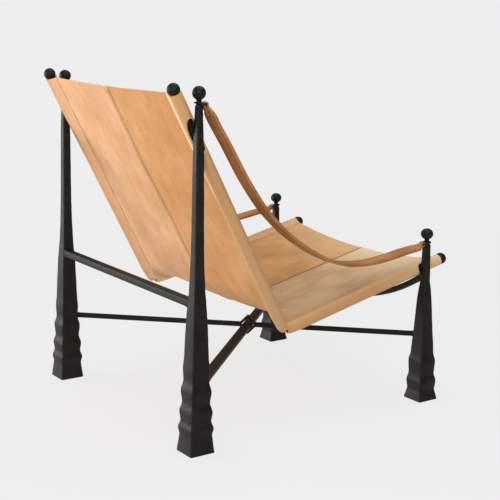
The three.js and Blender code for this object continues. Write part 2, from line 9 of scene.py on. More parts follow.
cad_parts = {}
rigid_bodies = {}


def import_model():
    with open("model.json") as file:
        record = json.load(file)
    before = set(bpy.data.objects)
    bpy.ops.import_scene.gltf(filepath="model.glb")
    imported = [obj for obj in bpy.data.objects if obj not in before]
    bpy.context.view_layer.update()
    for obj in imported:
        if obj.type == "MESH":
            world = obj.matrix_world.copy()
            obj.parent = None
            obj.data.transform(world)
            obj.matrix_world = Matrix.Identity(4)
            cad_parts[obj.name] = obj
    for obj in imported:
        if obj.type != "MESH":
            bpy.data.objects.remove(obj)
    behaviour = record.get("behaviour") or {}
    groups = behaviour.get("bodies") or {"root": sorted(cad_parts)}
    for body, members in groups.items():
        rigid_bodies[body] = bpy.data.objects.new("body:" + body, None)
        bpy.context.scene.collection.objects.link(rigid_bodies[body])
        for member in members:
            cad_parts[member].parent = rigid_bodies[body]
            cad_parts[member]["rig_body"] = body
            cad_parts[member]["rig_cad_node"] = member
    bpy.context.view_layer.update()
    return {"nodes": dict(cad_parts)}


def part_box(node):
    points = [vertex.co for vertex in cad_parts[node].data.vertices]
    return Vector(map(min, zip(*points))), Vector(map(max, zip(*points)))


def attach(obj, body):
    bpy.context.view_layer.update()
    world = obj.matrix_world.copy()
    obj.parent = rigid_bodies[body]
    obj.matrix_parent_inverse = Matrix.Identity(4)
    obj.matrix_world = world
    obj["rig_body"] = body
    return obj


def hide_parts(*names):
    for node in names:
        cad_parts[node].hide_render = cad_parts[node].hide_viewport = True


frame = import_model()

sideSigns = {"right": -1, "left": 1}
postRows = {"rear": -1, "front": 1}     # the way from a post to the strap, along Y


# Small helpers

def clearSelection():
    if bpy.context.mode != "OBJECT":
        bpy.ops.object.mode_set(mode="OBJECT")
    bpy.ops.object.select_all(action="DESELECT")


def useOnly(piece):
    clearSelection()
    piece.select_set(True)
    bpy.context.view_layer.objects.active = piece


def applyModifier(piece, kind, **settings):
    useOnly(piece)
    modifier = piece.modifiers.new(kind.lower(), kind)
    for key, value in settings.items():
        setattr(modifier, key, value)
    bpy.ops.object.modifier_apply(modifier=modifier.name)


def applyPlace(piece):
    useOnly(piece)
    bpy.ops.object.transform_apply(location=True, rotation=True, scale=True)


def addPiece(name, data):
    piece = bpy.data.objects.new(name, data)
    bpy.context.scene.collection.objects.link(piece)
    useOnly(piece)
    return piece


def addMesh(name, vertices, edges, faces):
    mesh = bpy.data.meshes.new(name)
    mesh.from_pydata(vertices, edges, faces)
    return addPiece(name, mesh)


def faceOutwards(piece, mergeWithin=0.0):
    # normals out, and points that fall together joined
    useOnly(piece)
    bpy.ops.object.mode_set(mode="EDIT")
    bpy.ops.mesh.select_all(action="SELECT")
    if mergeWithin:
        bpy.ops.mesh.remove_doubles(threshold=mergeWithin)
    bpy.ops.mesh.normals_make_consistent(inside=False)
    bpy.ops.object.mode_set(mode="OBJECT")


def smoothEdges(piece, degrees=35):
    useOnly(piece)
    bpy.ops.object.shade_smooth_by_angle(angle=math.radians(degrees))


def finishPiece(piece, name, material, body, nodes=()):
    piece.name = name
    piece.data.name = name
    if material is not None:
        piece.data.materials.clear()
        piece.data.materials.append(material)
    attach(piece, body)
    if nodes:
        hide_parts(*nodes)
    return piece


def placedCopy(piece, place, name):
    # the same shape somewhere else, with a mesh of its own
    copy = piece.copy()
    copy.data = piece.data.copy()
    copy.name = name
    bpy.context.scene.collection.objects.link(copy)
    copy.data.transform(Matrix.Translation(place))
    return copy


def middleOf(node):
    low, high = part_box(node)
    return (low + high) / 2


def mix(a, b, t):
    return a + (b - a) * t


def smoothstep(x, low, high):
    t = np.clip((np.asarray(x, float) - low) / (high - low), 0, 1)
    return t * t * (3 - 2 * t)


def unit(vector):
    return vector / np.linalg.norm(vector)


def lengthsAlong(points):
    # how far each point of a line is from its start
    return np.concatenate(([0], np.cumsum(np.linalg.norm(np.diff(points, axis=0), axis=1))))


# Camera, floor and light

cameraValues = {
    "place": (-2.484, 1.735, 1.010),
    "yaw": -35.139,      # degrees from +X
    "pitch": -9.37,
    "roll": 0.995,
    "lens": 83.81,
    "sensor": 36.0,
    "shiftY": -0.10,    # takes part of the tilt, because the photograph's verticals hardly converge
}


def addCamera():
    yaw, pitch, roll = (math.radians(cameraValues[key]) for key in ("yaw", "pitch", "roll"))
    forward = Vector((math.cos(pitch) * math.cos(yaw), math.cos(pitch) * math.sin(yaw), math.sin(pitch)))
    level = Vector((math.sin(yaw), -math.cos(yaw), 0))
    right = level * math.cos(roll) + level.cross(forward) * math.sin(roll)
    axes = Matrix((right, (-forward).cross(right), -forward)).transposed()
    clearSelection()
    bpy.ops.object.camera_add(location=cameraValues["place"], rotation=axes.to_euler())
    camera = bpy.context.object
    camera.name = "studio_camera"
    camera.data.lens = cameraValues["lens"]
    camera.data.sensor_width = cameraValues["sensor"]
    camera.data.shift_y = cameraValues["shiftY"]
    bpy.context.scene.camera = camera


studioValues = {
    "backdrop": "EEEEEE",
    "ambient": 0.25,        # the room's own light, far weaker than what the camera sees of the paper
    "floorRadius": 9.0,
    "floorGlow": 0.90,      # how much of the floor is evenly lit paper; the rest takes a faint shadow
    "floorFade": (1.2, 3.0),   # metres from the chair over which even that shadow ends
    "floorBounce": 0.84,    # the light that the floor throws back up
    "floorTone": "F2F2F2",
    "lights": [     # name, place, aimed at, width, height, watts, colour
        ("window_softbox", (3.4, 3.5, 0.8), (0.0, 0.1, 0.45), 2.6, 2.4, 236, "FFFDFA"),
        ("overhead_softbox", (0.1, -0.4, 3.0), (0.0, -0.1, 0.3), 2.4, 2.4, 46, "FFFDFA"),
        ("rear_fill", (-0.6, 3.2, 1.2), (0.0, 0.0, 0.5), 1.8, 1.4, 16, "FFF8EE"),
        ("side_fill", (-2.3, 1.5, 2.2), (0.0, 0.0, 0.45), 2.0, 1.6, 44, "FFFAF2"),
    ],
}


def srgbToLinear(code, alpha=1.0):
    channels = [int(code[i:i + 2], 16) / 255 for i in (0, 2, 4)]
    return (*(c / 12.92 if c <= 0.04045 else ((c + 0.055) / 1.055) ** 2.4 for c in channels), alpha)


def setStops(ramp, stops):
    # (place, tone) along a colour ramp, each tone a hex code or a grey
    while len(ramp.elements) < len(stops):
        ramp.elements.new(0.5)
    for element, (place, tone) in zip(ramp.elements, stops):
        element.position = place
        element.color = srgbToLinear(tone) if isinstance(tone, str) else (tone, tone, tone, 1)


def addNode(tree, kind, settings=None, links=None):
    # settings fill the node's sockets, its own fields or its ramp; links join other sockets to it
    node = tree.nodes.new(kind)
    for key, value in (settings or {}).items():
        if key == "stops":
            setStops(node.color_ramp, value)
        elif isinstance(key, int) or key in node.inputs:
            node.inputs[key].default_value = value
        else:
            setattr(node, key, value)
    for key, source in (links or {}).items():
        tree.links.new(source, node.inputs[key])
    return node


def newMaterial(name):
    material = bpy.data.materials.new(name)
    material.use_nodes = True
    material.node_tree.nodes.clear()
    return material, material.node_tree


def fadeTone(tree, tone, source, reach, shares, goal):
    # the tone takes a share of another one, which changes as the source goes over its reach
    share = addNode(tree, "ShaderNodeMapRange", {
        "From Min": reach[0], "From Max": reach[1], "To Min": shares[0], "To Max": shares[1]},
        {"Value": source})
    mixed = addNode(tree, "ShaderNodeMix", {"data_type": "RGBA", 7: srgbToLinear(goal)},
                    {0: share.outputs[0], 6: tone})
    return mixed.outputs[2]


def finishMaterial(tree, settings, links):
    shader = addNode(tree, "ShaderNodeBsdfPrincipled", settings, links)
    addNode(tree, "ShaderNodeOutputMaterial", links={"Surface": shader.outputs[0]})


def shownTo(tree, seen, other):
    # what the camera sees, and what the chair is lit by
    path = addNode(tree, "ShaderNodeLightPath")
    return addNode(tree, "ShaderNodeMixShader", links={
        0: path.outputs["Is Camera Ray"], 1: other.outputs[0], 2: seen.outputs[0]}).outputs[0]


def addStudio():
    scene = bpy.context.scene
    scene.view_settings.view_transform = "Standard"
    paper = srgbToLinear(studioValues["backdrop"])
    world = bpy.data.worlds.new("studio_world")
    scene.world = world
    world.use_nodes = True
    tree = world.node_tree
    tree.nodes.clear()
    seen = addNode(tree, "ShaderNodeBackground", {"Color": paper, "Strength": 1.0})
    lit = addNode(tree, "ShaderNodeBackground", {
        "Color": (1, 1, 1, 1), "Strength": studioValues["ambient"]})
    addNode(tree, "ShaderNodeOutputWorld", links={"Surface": shownTo(tree, seen, lit)})

    clearSelection()
    bpy.ops.mesh.primitive_circle_add(vertices=96, radius=studioValues["floorRadius"], fill_type="NGON")
    floor = bpy.context.object
    floor.name = "studio_floor"
    material, tree = newMaterial("matt paper sweep")   # seamless background paper: no gloss at all
    place = addNode(tree, "ShaderNodeTexCoord").outputs["Object"]
    away = addNode(tree, "ShaderNodeVectorMath", {"operation": "LENGTH"}, {0: place}).outputs["Value"]
    near, far = studioValues["floorFade"]
    glow = addNode(tree, "ShaderNodeMapRange", {
        "From Min": near, "From Max": far, "To Min": studioValues["floorGlow"], "To Max": 1.0},
        {"Value": away})
    sheet = addNode(tree, "ShaderNodeBsdfDiffuse", {"Color": srgbToLinear(studioValues["floorTone"])})
    bare = addNode(tree, "ShaderNodeEmission", {"Color": paper, "Strength": 1.0})
    seen = addNode(tree, "ShaderNodeMixShader", links={
        0: glow.outputs[0], 1: sheet.outputs[0], 2: bare.outputs[0]})
    thrown = addNode(tree, "ShaderNodeEmission", {"Color": paper, "Strength": studioValues["floorBounce"]})
    addNode(tree, "ShaderNodeOutputMaterial", links={"Surface": shownTo(tree, seen, thrown)})
    floor.data.materials.append(material)

    for name, place, aim, width, height, watts, colour in studioValues["lights"]:
        clearSelection()
        turn = (Vector(place) - Vector(aim)).to_track_quat("Z", "Y").to_euler()
        bpy.ops.object.light_add(type="AREA", location=place, rotation=turn)
        light = bpy.context.object
        light.name = name
        light.visible_camera = False
        light.data.shape = "RECTANGLE"
        light.data.size = width
        light.data.size_y = height
        light.data.energy = watts
        light.data.color = srgbToLinear(colour)[:3]


addCamera()
addStudio()
print("camera, floor and light are in place")


# Iron: mild steel forged hot, brushed and blackened with oil. A thin dark skin over metal, with
# soft hammer flats, fine scale pits, and specks where the skin is rubbed down to a warmer grey.

ironValues = {
    "skin": "16130F", "skinLight": "221E19", "rubbed": "443E37", "rubbedShare": 0.2,
    "roughness": (0.44, 0.60),
    "metallic": 0.25, "specular": 0.25,     # the oiled scale hides most of the metal
    "cloudSpacing": 0.05,       # patches where the oil skin is thicker
    "hammerSpacing": 0.018,     # centres of the hammer marks
    "pitSpacing": 0.0022,       # forge scale pits, drawn about twice as coarse as they are
    "dents": {"Strength": 0.22, "Distance": 0.0012}, "pits": {"Strength": 0.25, "Distance": 0.0003},
}


def makeIron():
    material, tree = newMaterial("oil-blackened forged iron")
    place = addNode(tree, "ShaderNodeTexCoord").outputs["Object"]
    cloud = addNode(tree, "ShaderNodeTexNoise", {
        "Scale": 1 / ironValues["cloudSpacing"], "Detail": 4.0, "Roughness": 0.6}, {"Vector": place})
    fine = addNode(tree, "ShaderNodeTexNoise", {
        "Scale": 1 / ironValues["pitSpacing"], "Detail": 3.0, "Roughness": 0.65}, {"Vector": place})
    marks = addNode(tree, "ShaderNodeTexVoronoi", {
        "feature": "SMOOTH_F1", "Scale": 1 / ironValues["hammerSpacing"], "Smoothness": 0.6},
        {"Vector": place})
    skin = addNode(tree, "ShaderNodeValToRGB", {
        "stops": [(0.35, ironValues["skin"]), (0.68, ironValues["skinLight"])]},
        {"Fac": cloud.outputs["Fac"]})
    specks = addNode(tree, "ShaderNodeValToRGB", {"stops": [(0.60, 0.0), (0.75, 1.0)]}, {
        "Fac": fine.outputs["Fac"]})
    share = addNode(tree, "ShaderNodeMath", {"operation": "MULTIPLY", 1: ironValues["rubbedShare"]}, {
        0: specks.outputs["Color"]})
    tone = addNode(tree, "ShaderNodeMix", {"data_type": "RGBA", 7: srgbToLinear(ironValues["rubbed"])}, {
        0: share.outputs[0], 6: skin.outputs["Color"]})
    low, high = ironValues["roughness"]
    rough = addNode(tree, "ShaderNodeMapRange", {
        "From Min": 0.3, "From Max": 0.7, "To Min": low, "To Max": high},
        {"Value": cloud.outputs["Fac"]})
    dents = addNode(tree, "ShaderNodeBump", ironValues["dents"], {"Height": marks.outputs["Distance"]})
    pits = addNode(tree, "ShaderNodeBump", ironValues["pits"], {
        "Height": fine.outputs["Fac"], "Normal": dents.outputs[0]})
    finishMaterial(tree, {
        "Metallic": ironValues["metallic"], "Specular IOR Level": ironValues["specular"]}, {
        "Base Color": tone.outputs[2], "Roughness": rough.outputs[0], "Normal": pits.outputs[0]})
    return material


iron = makeIron()


def finishIron(piece, name, node, body="frame"):
    finishPiece(piece, name, iron, body, [node])


# Posts: the square foot is drawn up ring by ring, as it is under the hammer

postValues = {
    "rear": {
        "footHalf": 0.033, "rippleTop": 0.230, "shoulder": 0.796,
        # height as a share of rippleTop, half width as a share of footHalf
        "rippleShares": [(0, 1), (0.18, 0.864), (0.25, 0.948), (0.325, 0.821), (0.42, 0.882),
                         (0.51, 0.742), (0.63, 0.812), (0.74, 0.673), (0.86, 0.706), (1, 0.645)],
        # height as a share of the shaft, half width as a share of its lower end
        "shaftShares": [(0, 1), (0.08, 0.94), (0.175, 0.84), (0.26, 0.69), (0.35, 0.6), (0.47, 0.545),
                        (0.81, 0.475), (0.95, 0.37), (1, 0.34)],
    },
    "front": {
        "footHalf": 0.032, "rippleTop": 0.152, "shoulder": 0.413,
        "rippleShares": [(0, 1), (0.18, 0.819), (0.32, 0.888), (0.46, 0.766), (0.67, 0.806),
                         (0.84, 0.681), (1, 0.647)],
        "shaftShares": [(0, 1), (0.12, 0.903), (0.37, 0.768), (0.467, 0.7), (0.55, 0.6), (0.63, 0.485),
                        (1, 0.4)],
    },
    "bevelShares": (0.05, 0.11),    # of the full width: at the foot, and on the drawn-out shaft
    "drawnOutShare": 0.5,
    "ringStep": 0.006,
    "wornEdge": 0.0011,
    "hammerDepth": 0.0007,
    "cleanFoot": 0.004,     # the hammer marks stop this far above the floor
}


def eased(t):
    return (1 - math.cos(math.pi * t)) / 2


def postRings(post):
    # (height, half width, corner bevel) up the post: eased ripples, then a shaft of straight stretches
    top, shoulder, foot = post["rippleTop"], post["shoulder"], post["footHalf"]
    shaftFoot = post["rippleShares"][-1][1] * foot
    knots = [(share * top, width * foot, True) for share, width in post["rippleShares"]]
    knots += [(mix(top, shoulder, share), width * shaftFoot, False)
              for share, width in post["shaftShares"][1:]]
    atFoot, atShaft = postValues["bevelShares"]
    drawnTo = mix(top, shoulder, postValues["drawnOutShare"])
    rings = []
    for index, ((z0, w0, _), (z1, w1, rippled)) in enumerate(zip(knots, knots[1:])):
        steps = max(1, round((z1 - z0) / postValues["ringStep"]))
        for step in range(steps):
            t = step / steps
            rings.append((mix(z0, z1, t), mix(w0, w1, eased(t) if rippled and index else t)))
    rings.append((knots[-1][0], knots[-1][1]))
    return [(z, half, 2 * half * mix(atFoot, atShaft, float(smoothstep(z, top, drawnTo))))
            for z, half in rings]


def hammerTexture():
    texture = bpy.data.textures.new("hammer_marks", "VORONOI")
    texture.noise_scale = ironValues["hammerSpacing"]
    texture.distance_metric = "DISTANCE"
    return texture


hammerMarks = hammerTexture()


def hammerPiece(piece, depth, group=""):
    applyModifier(piece, "DISPLACE", texture=hammerMarks, texture_coords="LOCAL", strength=depth,
                  mid_level=0.5, vertex_group=group)


def makePost(row):
    # one post at the origin, foot on the floor
    post = postValues[row]
    rings = postRings(post)
    clearSelection()
    bpy.ops.mesh.primitive_plane_add(size=2 * post["footHalf"], location=(0, 0, 0))
    piece = bpy.context.object
    bpy.ops.object.transform_apply(location=False, rotation=False, scale=True)
    bpy.ops.object.mode_set(mode="EDIT")
    bpy.ops.mesh.select_all(action="SELECT")
    for (z0, half0, _), (z1, half1, _) in zip(rings, rings[1:]):
        bpy.ops.mesh.extrude_region_move(TRANSFORM_OT_translate={"value": (0, 0, z1 - z0)})
        bpy.ops.transform.resize(value=(half1 / half0, half1 / half0, 1), center_override=(0, 0, z1))
    bpy.ops.object.mode_set(mode="OBJECT")
    faceOutwards(piece)
    widest = max(bevel for _, _, bevel in rings)
    weightCorners(piece, rings, widest)
    applyModifier(piece, "BEVEL", width=widest, segments=1, limit_method="WEIGHT", offset_type="OFFSET")
    applyModifier(piece, "BEVEL", width=postValues["wornEdge"], segments=2, limit_method="ANGLE",
                  angle_limit=math.radians(28), use_clamp_overlap=True)
    applyModifier(piece, "SUBSURF", subdivision_type="SIMPLE", levels=1, render_levels=1)
    group = piece.vertex_groups.new(name="hammered")
    for vertex in piece.data.vertices:
        group.add([vertex.index], float(smoothstep(vertex.co.z, 0, postValues["cleanFoot"])), "REPLACE")
    return piece


def standPost(model, row, side):
    centre = middleOf(f"post_{row}_{side}")
    piece = placedCopy(model, (centre.x, centre.y, 0), "post")
    hammerPiece(piece, postValues["hammerDepth"], "hammered")   # each one is struck where it stands
    smoothEdges(piece)
    finishIron(piece, f"forged_post_{row}_{side}", f"post_{row}_{side}")


def weightCorners(piece, rings, widest):
    # each upright corner edge is given the bevel of its own height
    heights = [z for z, _, _ in rings]
    bevels = [bevel for _, _, bevel in rings]
    mesh = bmesh.new()
    mesh.from_mesh(piece.data)
    layers = mesh.edges.layers.float
    weights = layers.get("bevel_weight_edge") or layers.new("bevel_weight_edge")
    for edge in mesh.edges:
        a, b = (vertex.co for vertex in edge.verts)
        if abs(a.z - b.z) > 1e-5:
            edge[weights] = float(np.interp((a.z + b.z) / 2, heights, bevels)) / widest
    mesh.to_mesh(piece.data)
    mesh.free()


for row in postRows:
    model = makePost(row)
    for side in sideSigns:
        standPost(model, row, side)
    bpy.data.objects.remove(model)
print("posts are forged")


# Finials and rail balls: turned, then hammered round. Rings: wire bent round a mandrel.

finialValues = {
    "rear": {"radius": 0.0156, "halfHeight": 0.0156, "centre": 0.0286},
    "front": {"radius": 0.0162, "halfHeight": 0.0142, "centre": 0.0284},
    "neckRadius": 0.0065,
    "neckWaist": 0.0006,
    "collar": 0.0012, "collarRise": 2.5,    # the rise is a share of the collar
    "sunk": 0.002,          # into the post's shoulder
    "ballSteps": 18,
    "turns": 40,
    "hammerDepth": 0.0005,
}


def spinProfile(points, turns):
    # points are (radius, height) from the lower axis to the upper one
    piece = addMesh("profile", [(r, 0, z) for r, z in points],
                    [(i, i + 1) for i in range(len(points) - 1)], [])
    bpy.ops.object.mode_set(mode="EDIT")
    bpy.ops.mesh.select_all(action="SELECT")
    bpy.ops.mesh.spin(steps=turns, angle=2 * math.pi, center=(0, 0, 0), axis=(0, 0, 1))
    bpy.ops.object.mode_set(mode="OBJECT")
    faceOutwards(piece, 1e-6)
    return piece


def makeFinial(row):
    # one finial over the origin, which is the middle of its post's shoulder
    ball = finialValues[row]
    neck, waist, collar = finialValues["neckRadius"], finialValues["neckWaist"], finialValues["collar"]
    sunk, rise, steps = finialValues["sunk"], finialValues["collarRise"] * collar, finialValues["ballSteps"]
    lowest = -math.acos(neck / ball["radius"])
    under = ball["centre"] + ball["halfHeight"] * math.sin(lowest)
    points = [(0, -sunk), (neck + collar, -sunk), (neck + collar, collar), (neck, rise)]
    points += [(neck - waist * math.sin(math.pi * t), mix(rise, under, t)) for t in (0.25, 0.5, 0.75)]
    for step in range(steps + 1):
        angle = mix(lowest, math.pi / 2, step / steps)
        points.append((ball["radius"] * math.cos(angle) if step < steps else 0,
                       ball["centre"] + ball["halfHeight"] * math.sin(angle)))
    return spinProfile(points, finialValues["turns"])


ringValues = {"radius": 0.0123, "wire": 0.002, "tilt": 10.0}


def makeRing(row):
    clearSelection()
    bpy.ops.mesh.primitive_torus_add(
        major_radius=ringValues["radius"], minor_radius=ringValues["wire"], major_segments=48,
        minor_segments=12, location=(0, 0, 0),
        rotation=(-postRows[row] * math.radians(ringValues["tilt"]), 0, 0))
    piece = bpy.context.object
    applyPlace(piece)
    return piece


for row in postRows:
    finialModel, ringModel = makeFinial(row), makeRing(row)
    for side in sideSigns:
        centre = middleOf(f"post_{row}_{side}")
        finial = placedCopy(finialModel, (centre.x, centre.y, postValues[row]["shoulder"]), "finial")
        hammerPiece(finial, finialValues["hammerDepth"])
        smoothEdges(finial, 50)
        finishIron(finial, f"ball_finial_{row}_{side}", f"finial_{row}_{side}")
        ring = placedCopy(ringModel, middleOf(f"strap_ring_{row}_{side}"), "ring")
        smoothEdges(ring, 60)
        finishIron(ring, f"wire_ring_{row}_{side}", f"strap_ring_{row}_{side}", f"strap_{side}")
    bpy.data.objects.remove(finialModel)
    bpy.data.objects.remove(ringModel)
print("finials and rings are on the posts")


# The rails' line in a side plane, as (y, z). It is read from the frame: the balls are on its ends,
# and the saddles are where it passes the posts.

railValues = {
    "radius": 0.008, "bendRadius": 0.040, "ballRadius": 0.015, "hammerDepth": 0.0003,
    "intoBall": 0.006,          # from a ball's centre to the bar's end
    "rows": (59, 19, 49),       # steps down the back, round the bend and along the seat
}
ballLow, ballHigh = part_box("rail_ball_top_left")
railX = (ballLow.x + ballHigh.x) / 2
railTop = np.array((ballHigh.y, ballHigh.z)) - railValues["ballRadius"]
frontLow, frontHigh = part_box("rail_ball_front_left")
railFront = np.array((frontLow.y + railValues["ballRadius"], (frontLow.z + frontHigh.z) / 2))
rearPass = np.array(middleOf("saddle_rear_left").yz)
frontPass = np.array(middleOf("saddle_front_left").yz)


backDirection = unit(rearPass - railTop)
seatDirection = unit(railFront - frontPass)
bendAngle = math.acos(float(backDirection @ seatDirection))
railTangent = railValues["bendRadius"] * math.tan(bendAngle / 2)
run = np.linalg.solve(np.array((backDirection, -seatDirection)).T, frontPass - rearPass)
railCorner = rearPass + backDirection * run[0]


def sitterSide(direction):
    # towards the sitter, square to the direction of travel
    return np.stack((direction[..., 1], -direction[..., 0]), axis=-1)


def pathStations(back, bend, seat):
    return np.concatenate((np.linspace(0, 1, back + 1), np.linspace(1, 2, bend + 1)[1:],
                           np.linspace(2, 3, seat + 1)[1:]))


def bentPath(radius, trim, stations):
    # stations run from 0 to 1 down the back, to 2 round the bend and to 3 along the seat
    tangent = radius * math.tan(bendAngle / 2)
    backStart, backEnd = railTop + backDirection * trim, railCorner - backDirection * tangent
    seatStart, seatEnd = railCorner + seatDirection * tangent, railFront - seatDirection * trim
    centre = backEnd + sitterSide(backDirection) * radius
    s = np.asarray(stations, float)[:, None]
    angle = bendAngle * np.clip(s - 1, 0, 1)
    y, z = backDirection
    direction = np.hstack((y * np.cos(angle) + z * np.sin(angle), z * np.cos(angle) - y * np.sin(angle)))
    onBack = mix(backStart, backEnd, np.clip(s, 0, 1))
    onBend = centre - sitterSide(direction) * radius
    onSeat = mix(seatStart, seatEnd, np.clip(s - 2, 0, 1))
    return np.where(s <= 1, onBack, np.where(s <= 2, onBend, onSeat)), direction


def sweptBar(name, points, outline, scales=None):
    # a bar along points, its section the outline (across, up) and each point's own scale
    clearSelection()
    section = bpy.data.curves.new("section", "CURVE")
    spline = section.splines.new("POLY")
    spline.points.add(len(outline) - 1)
    for point, (u, v) in zip(spline.points, outline):
        point.co = (u, v, 0, 1)
    spline.use_cyclic_u = True
    profile = addPiece("section", section)
    line = bpy.data.curves.new(name, "CURVE")
    line.dimensions = "3D"
    line.twist_mode = "Z_UP"
    line.bevel_mode = "OBJECT"
    line.bevel_object = profile
    line.use_fill_caps = True
    spline = line.splines.new("POLY")
    spline.points.add(len(points) - 1)
    for index, (point, place) in enumerate(zip(spline.points, points)):
        point.co = (*place, 1)
        point.radius = 1 if scales is None else scales[index]
    addPiece(name, line)
    bpy.ops.object.convert(target="MESH")
    piece = bpy.context.object
    bpy.data.objects.remove(profile)
    faceOutwards(piece, 1e-6)
    return piece


def roundOutline(radius, count):
    return [(radius * math.cos(2 * math.pi * i / count), radius * math.sin(2 * math.pi * i / count))
            for i in range(count)]


def squareOutline(halfWidth, halfHeight, bevel, cuts=3):
    # a rectangle with its corners taken off, its flats divided so that the hammer marks show
    corners = [(halfWidth, bevel - halfHeight), (halfWidth, halfHeight - bevel),
               (halfWidth - bevel, halfHeight), (bevel - halfWidth, halfHeight),
               (-halfWidth, halfHeight - bevel), (-halfWidth, bevel - halfHeight),
               (bevel - halfWidth, -halfHeight), (halfWidth - bevel, -halfHeight)]
    outline = []
    for index, (start, end) in enumerate(zip(corners, corners[1:] + corners[:1])):
        steps = cuts if index % 2 == 0 else 1
        outline += [tuple(mix(a, b, k / steps) for a, b in zip(start, end)) for k in range(steps)]
    return outline


def makeRail():
    stations = pathStations(*railValues["rows"])
    points, _ = bentPath(railValues["bendRadius"], railValues["intoBall"], stations)
    return sweptBar("rail", [(0, y, z) for y, z in points], roundOutline(railValues["radius"], 24))


def makeRailBall():
    clearSelection()
    bpy.ops.mesh.primitive_uv_sphere_add(segments=40, ring_count=24, radius=railValues["ballRadius"],
                                         location=(0, 0, 0))
    return bpy.context.object


def refinedCopy(node, name):
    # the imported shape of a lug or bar, merged and with its edges worn round
    source = frame["nodes"][node]
    piece = source.copy()
    piece.data = source.data.copy()
    piece.parent = None
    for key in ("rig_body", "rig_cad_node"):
        if key in piece:
            del piece[key]
    bpy.context.scene.collection.objects.link(piece)
    useOnly(piece)
    bpy.ops.object.mode_set(mode="EDIT")
    bpy.ops.mesh.select_all(action="SELECT")
    bpy.ops.mesh.remove_doubles(threshold=1e-5)
    bpy.ops.mesh.dissolve_limited(angle_limit=math.radians(1))
    bpy.ops.object.mode_set(mode="OBJECT")
    applyModifier(piece, "BEVEL", width=barValues["wear"], segments=2, limit_method="ANGLE",
                  angle_limit=math.radians(25), use_clamp_overlap=True)
    smoothEdges(piece)
    finishIron(piece, name, node)


barValues = {
    "bow": {"half": 0.0075, "bevel": 0.0034, "flare": 0.0010, "flareShare": 0.12, "points": 61,
            "endBelowRail": 0.015, "sag": 0.109, "seat": 0.008},
    "wear": 0.0008,
    "hammerDepth": 0.0005,
}


def makeBow():
    low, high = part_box("front_bow_bar")
    bow = barValues["bow"]
    half = bow["half"]
    endHeight = frontPass[1] - bow["endBelowRail"]
    reach, y = high.x + bow["seat"], (low.y + high.y) / 2
    shares = np.linspace(-1, 1, bow["points"])
    points = [(t * reach, y, endHeight - bow["sag"] * (1 - t * t)) for t in shares]
    scales = 1 + bow["flare"] / half * smoothstep(abs(shares), 1 - bow["flareShare"], 1)
    piece = sweptBar("bow", points, squareOutline(half, half, bow["bevel"]), scales)
    hammerPiece(piece, barValues["hammerDepth"])
    smoothEdges(piece)
    finishIron(piece, "hanging_bow_bar", "front_bow_bar")


railModel, ballModel = makeRail(), makeRailBall()
for side in sideSigns:
    rail = placedCopy(railModel, (sideSigns[side] * railX, 0, 0), "rail")
    hammerPiece(rail, railValues["hammerDepth"])
    smoothEdges(rail, 50)
    finishIron(rail, f"bent_rail_{side}", f"side_rail_{side}")
    for end, place in (("top", railTop), ("front", railFront)):
        ball = placedCopy(ballModel, (sideSigns[side] * railX, *place), "ball")
        hammerPiece(ball, finialValues["hammerDepth"])
        smoothEdges(ball, 60)
        finishIron(ball, f"end_ball_{end}_{side}", f"rail_ball_{end}_{side}")
    for row in postRows:
        refinedCopy(f"saddle_{row}_{side}", f"forged_saddle_{row}_{side}")
bpy.data.objects.remove(railModel)
bpy.data.objects.remove(ballModel)
makeBow()
for node, name in (("rear_cross_bar", "forged_cross_bar"), ("square_diagonal", "pierced_diagonal"),
                   ("flat_diagonal", "threaded_diagonal")):
    refinedCopy(node, name)
print("rails, saddles and bars are in place")


# Sling leather: thick vegetable-tanned cowhide. The grain side is oiled, with a soft gloss and fine
# creases. It is darker where hands hold the rails. It is warmer on the sleeves, partly its own tone and
# partly a painted warm bounce light in the sleeves' shade. A painted highlight lies as a cream band
# beside each hem, and painted light and sheen make the seat paler towards its front. The flesh side is
# matt, smooth and peach-coloured, with soft streaks down the hide. A cut edge is pale and burnished.
# Each panel is cut from a hide of its own, so their tones differ a little.

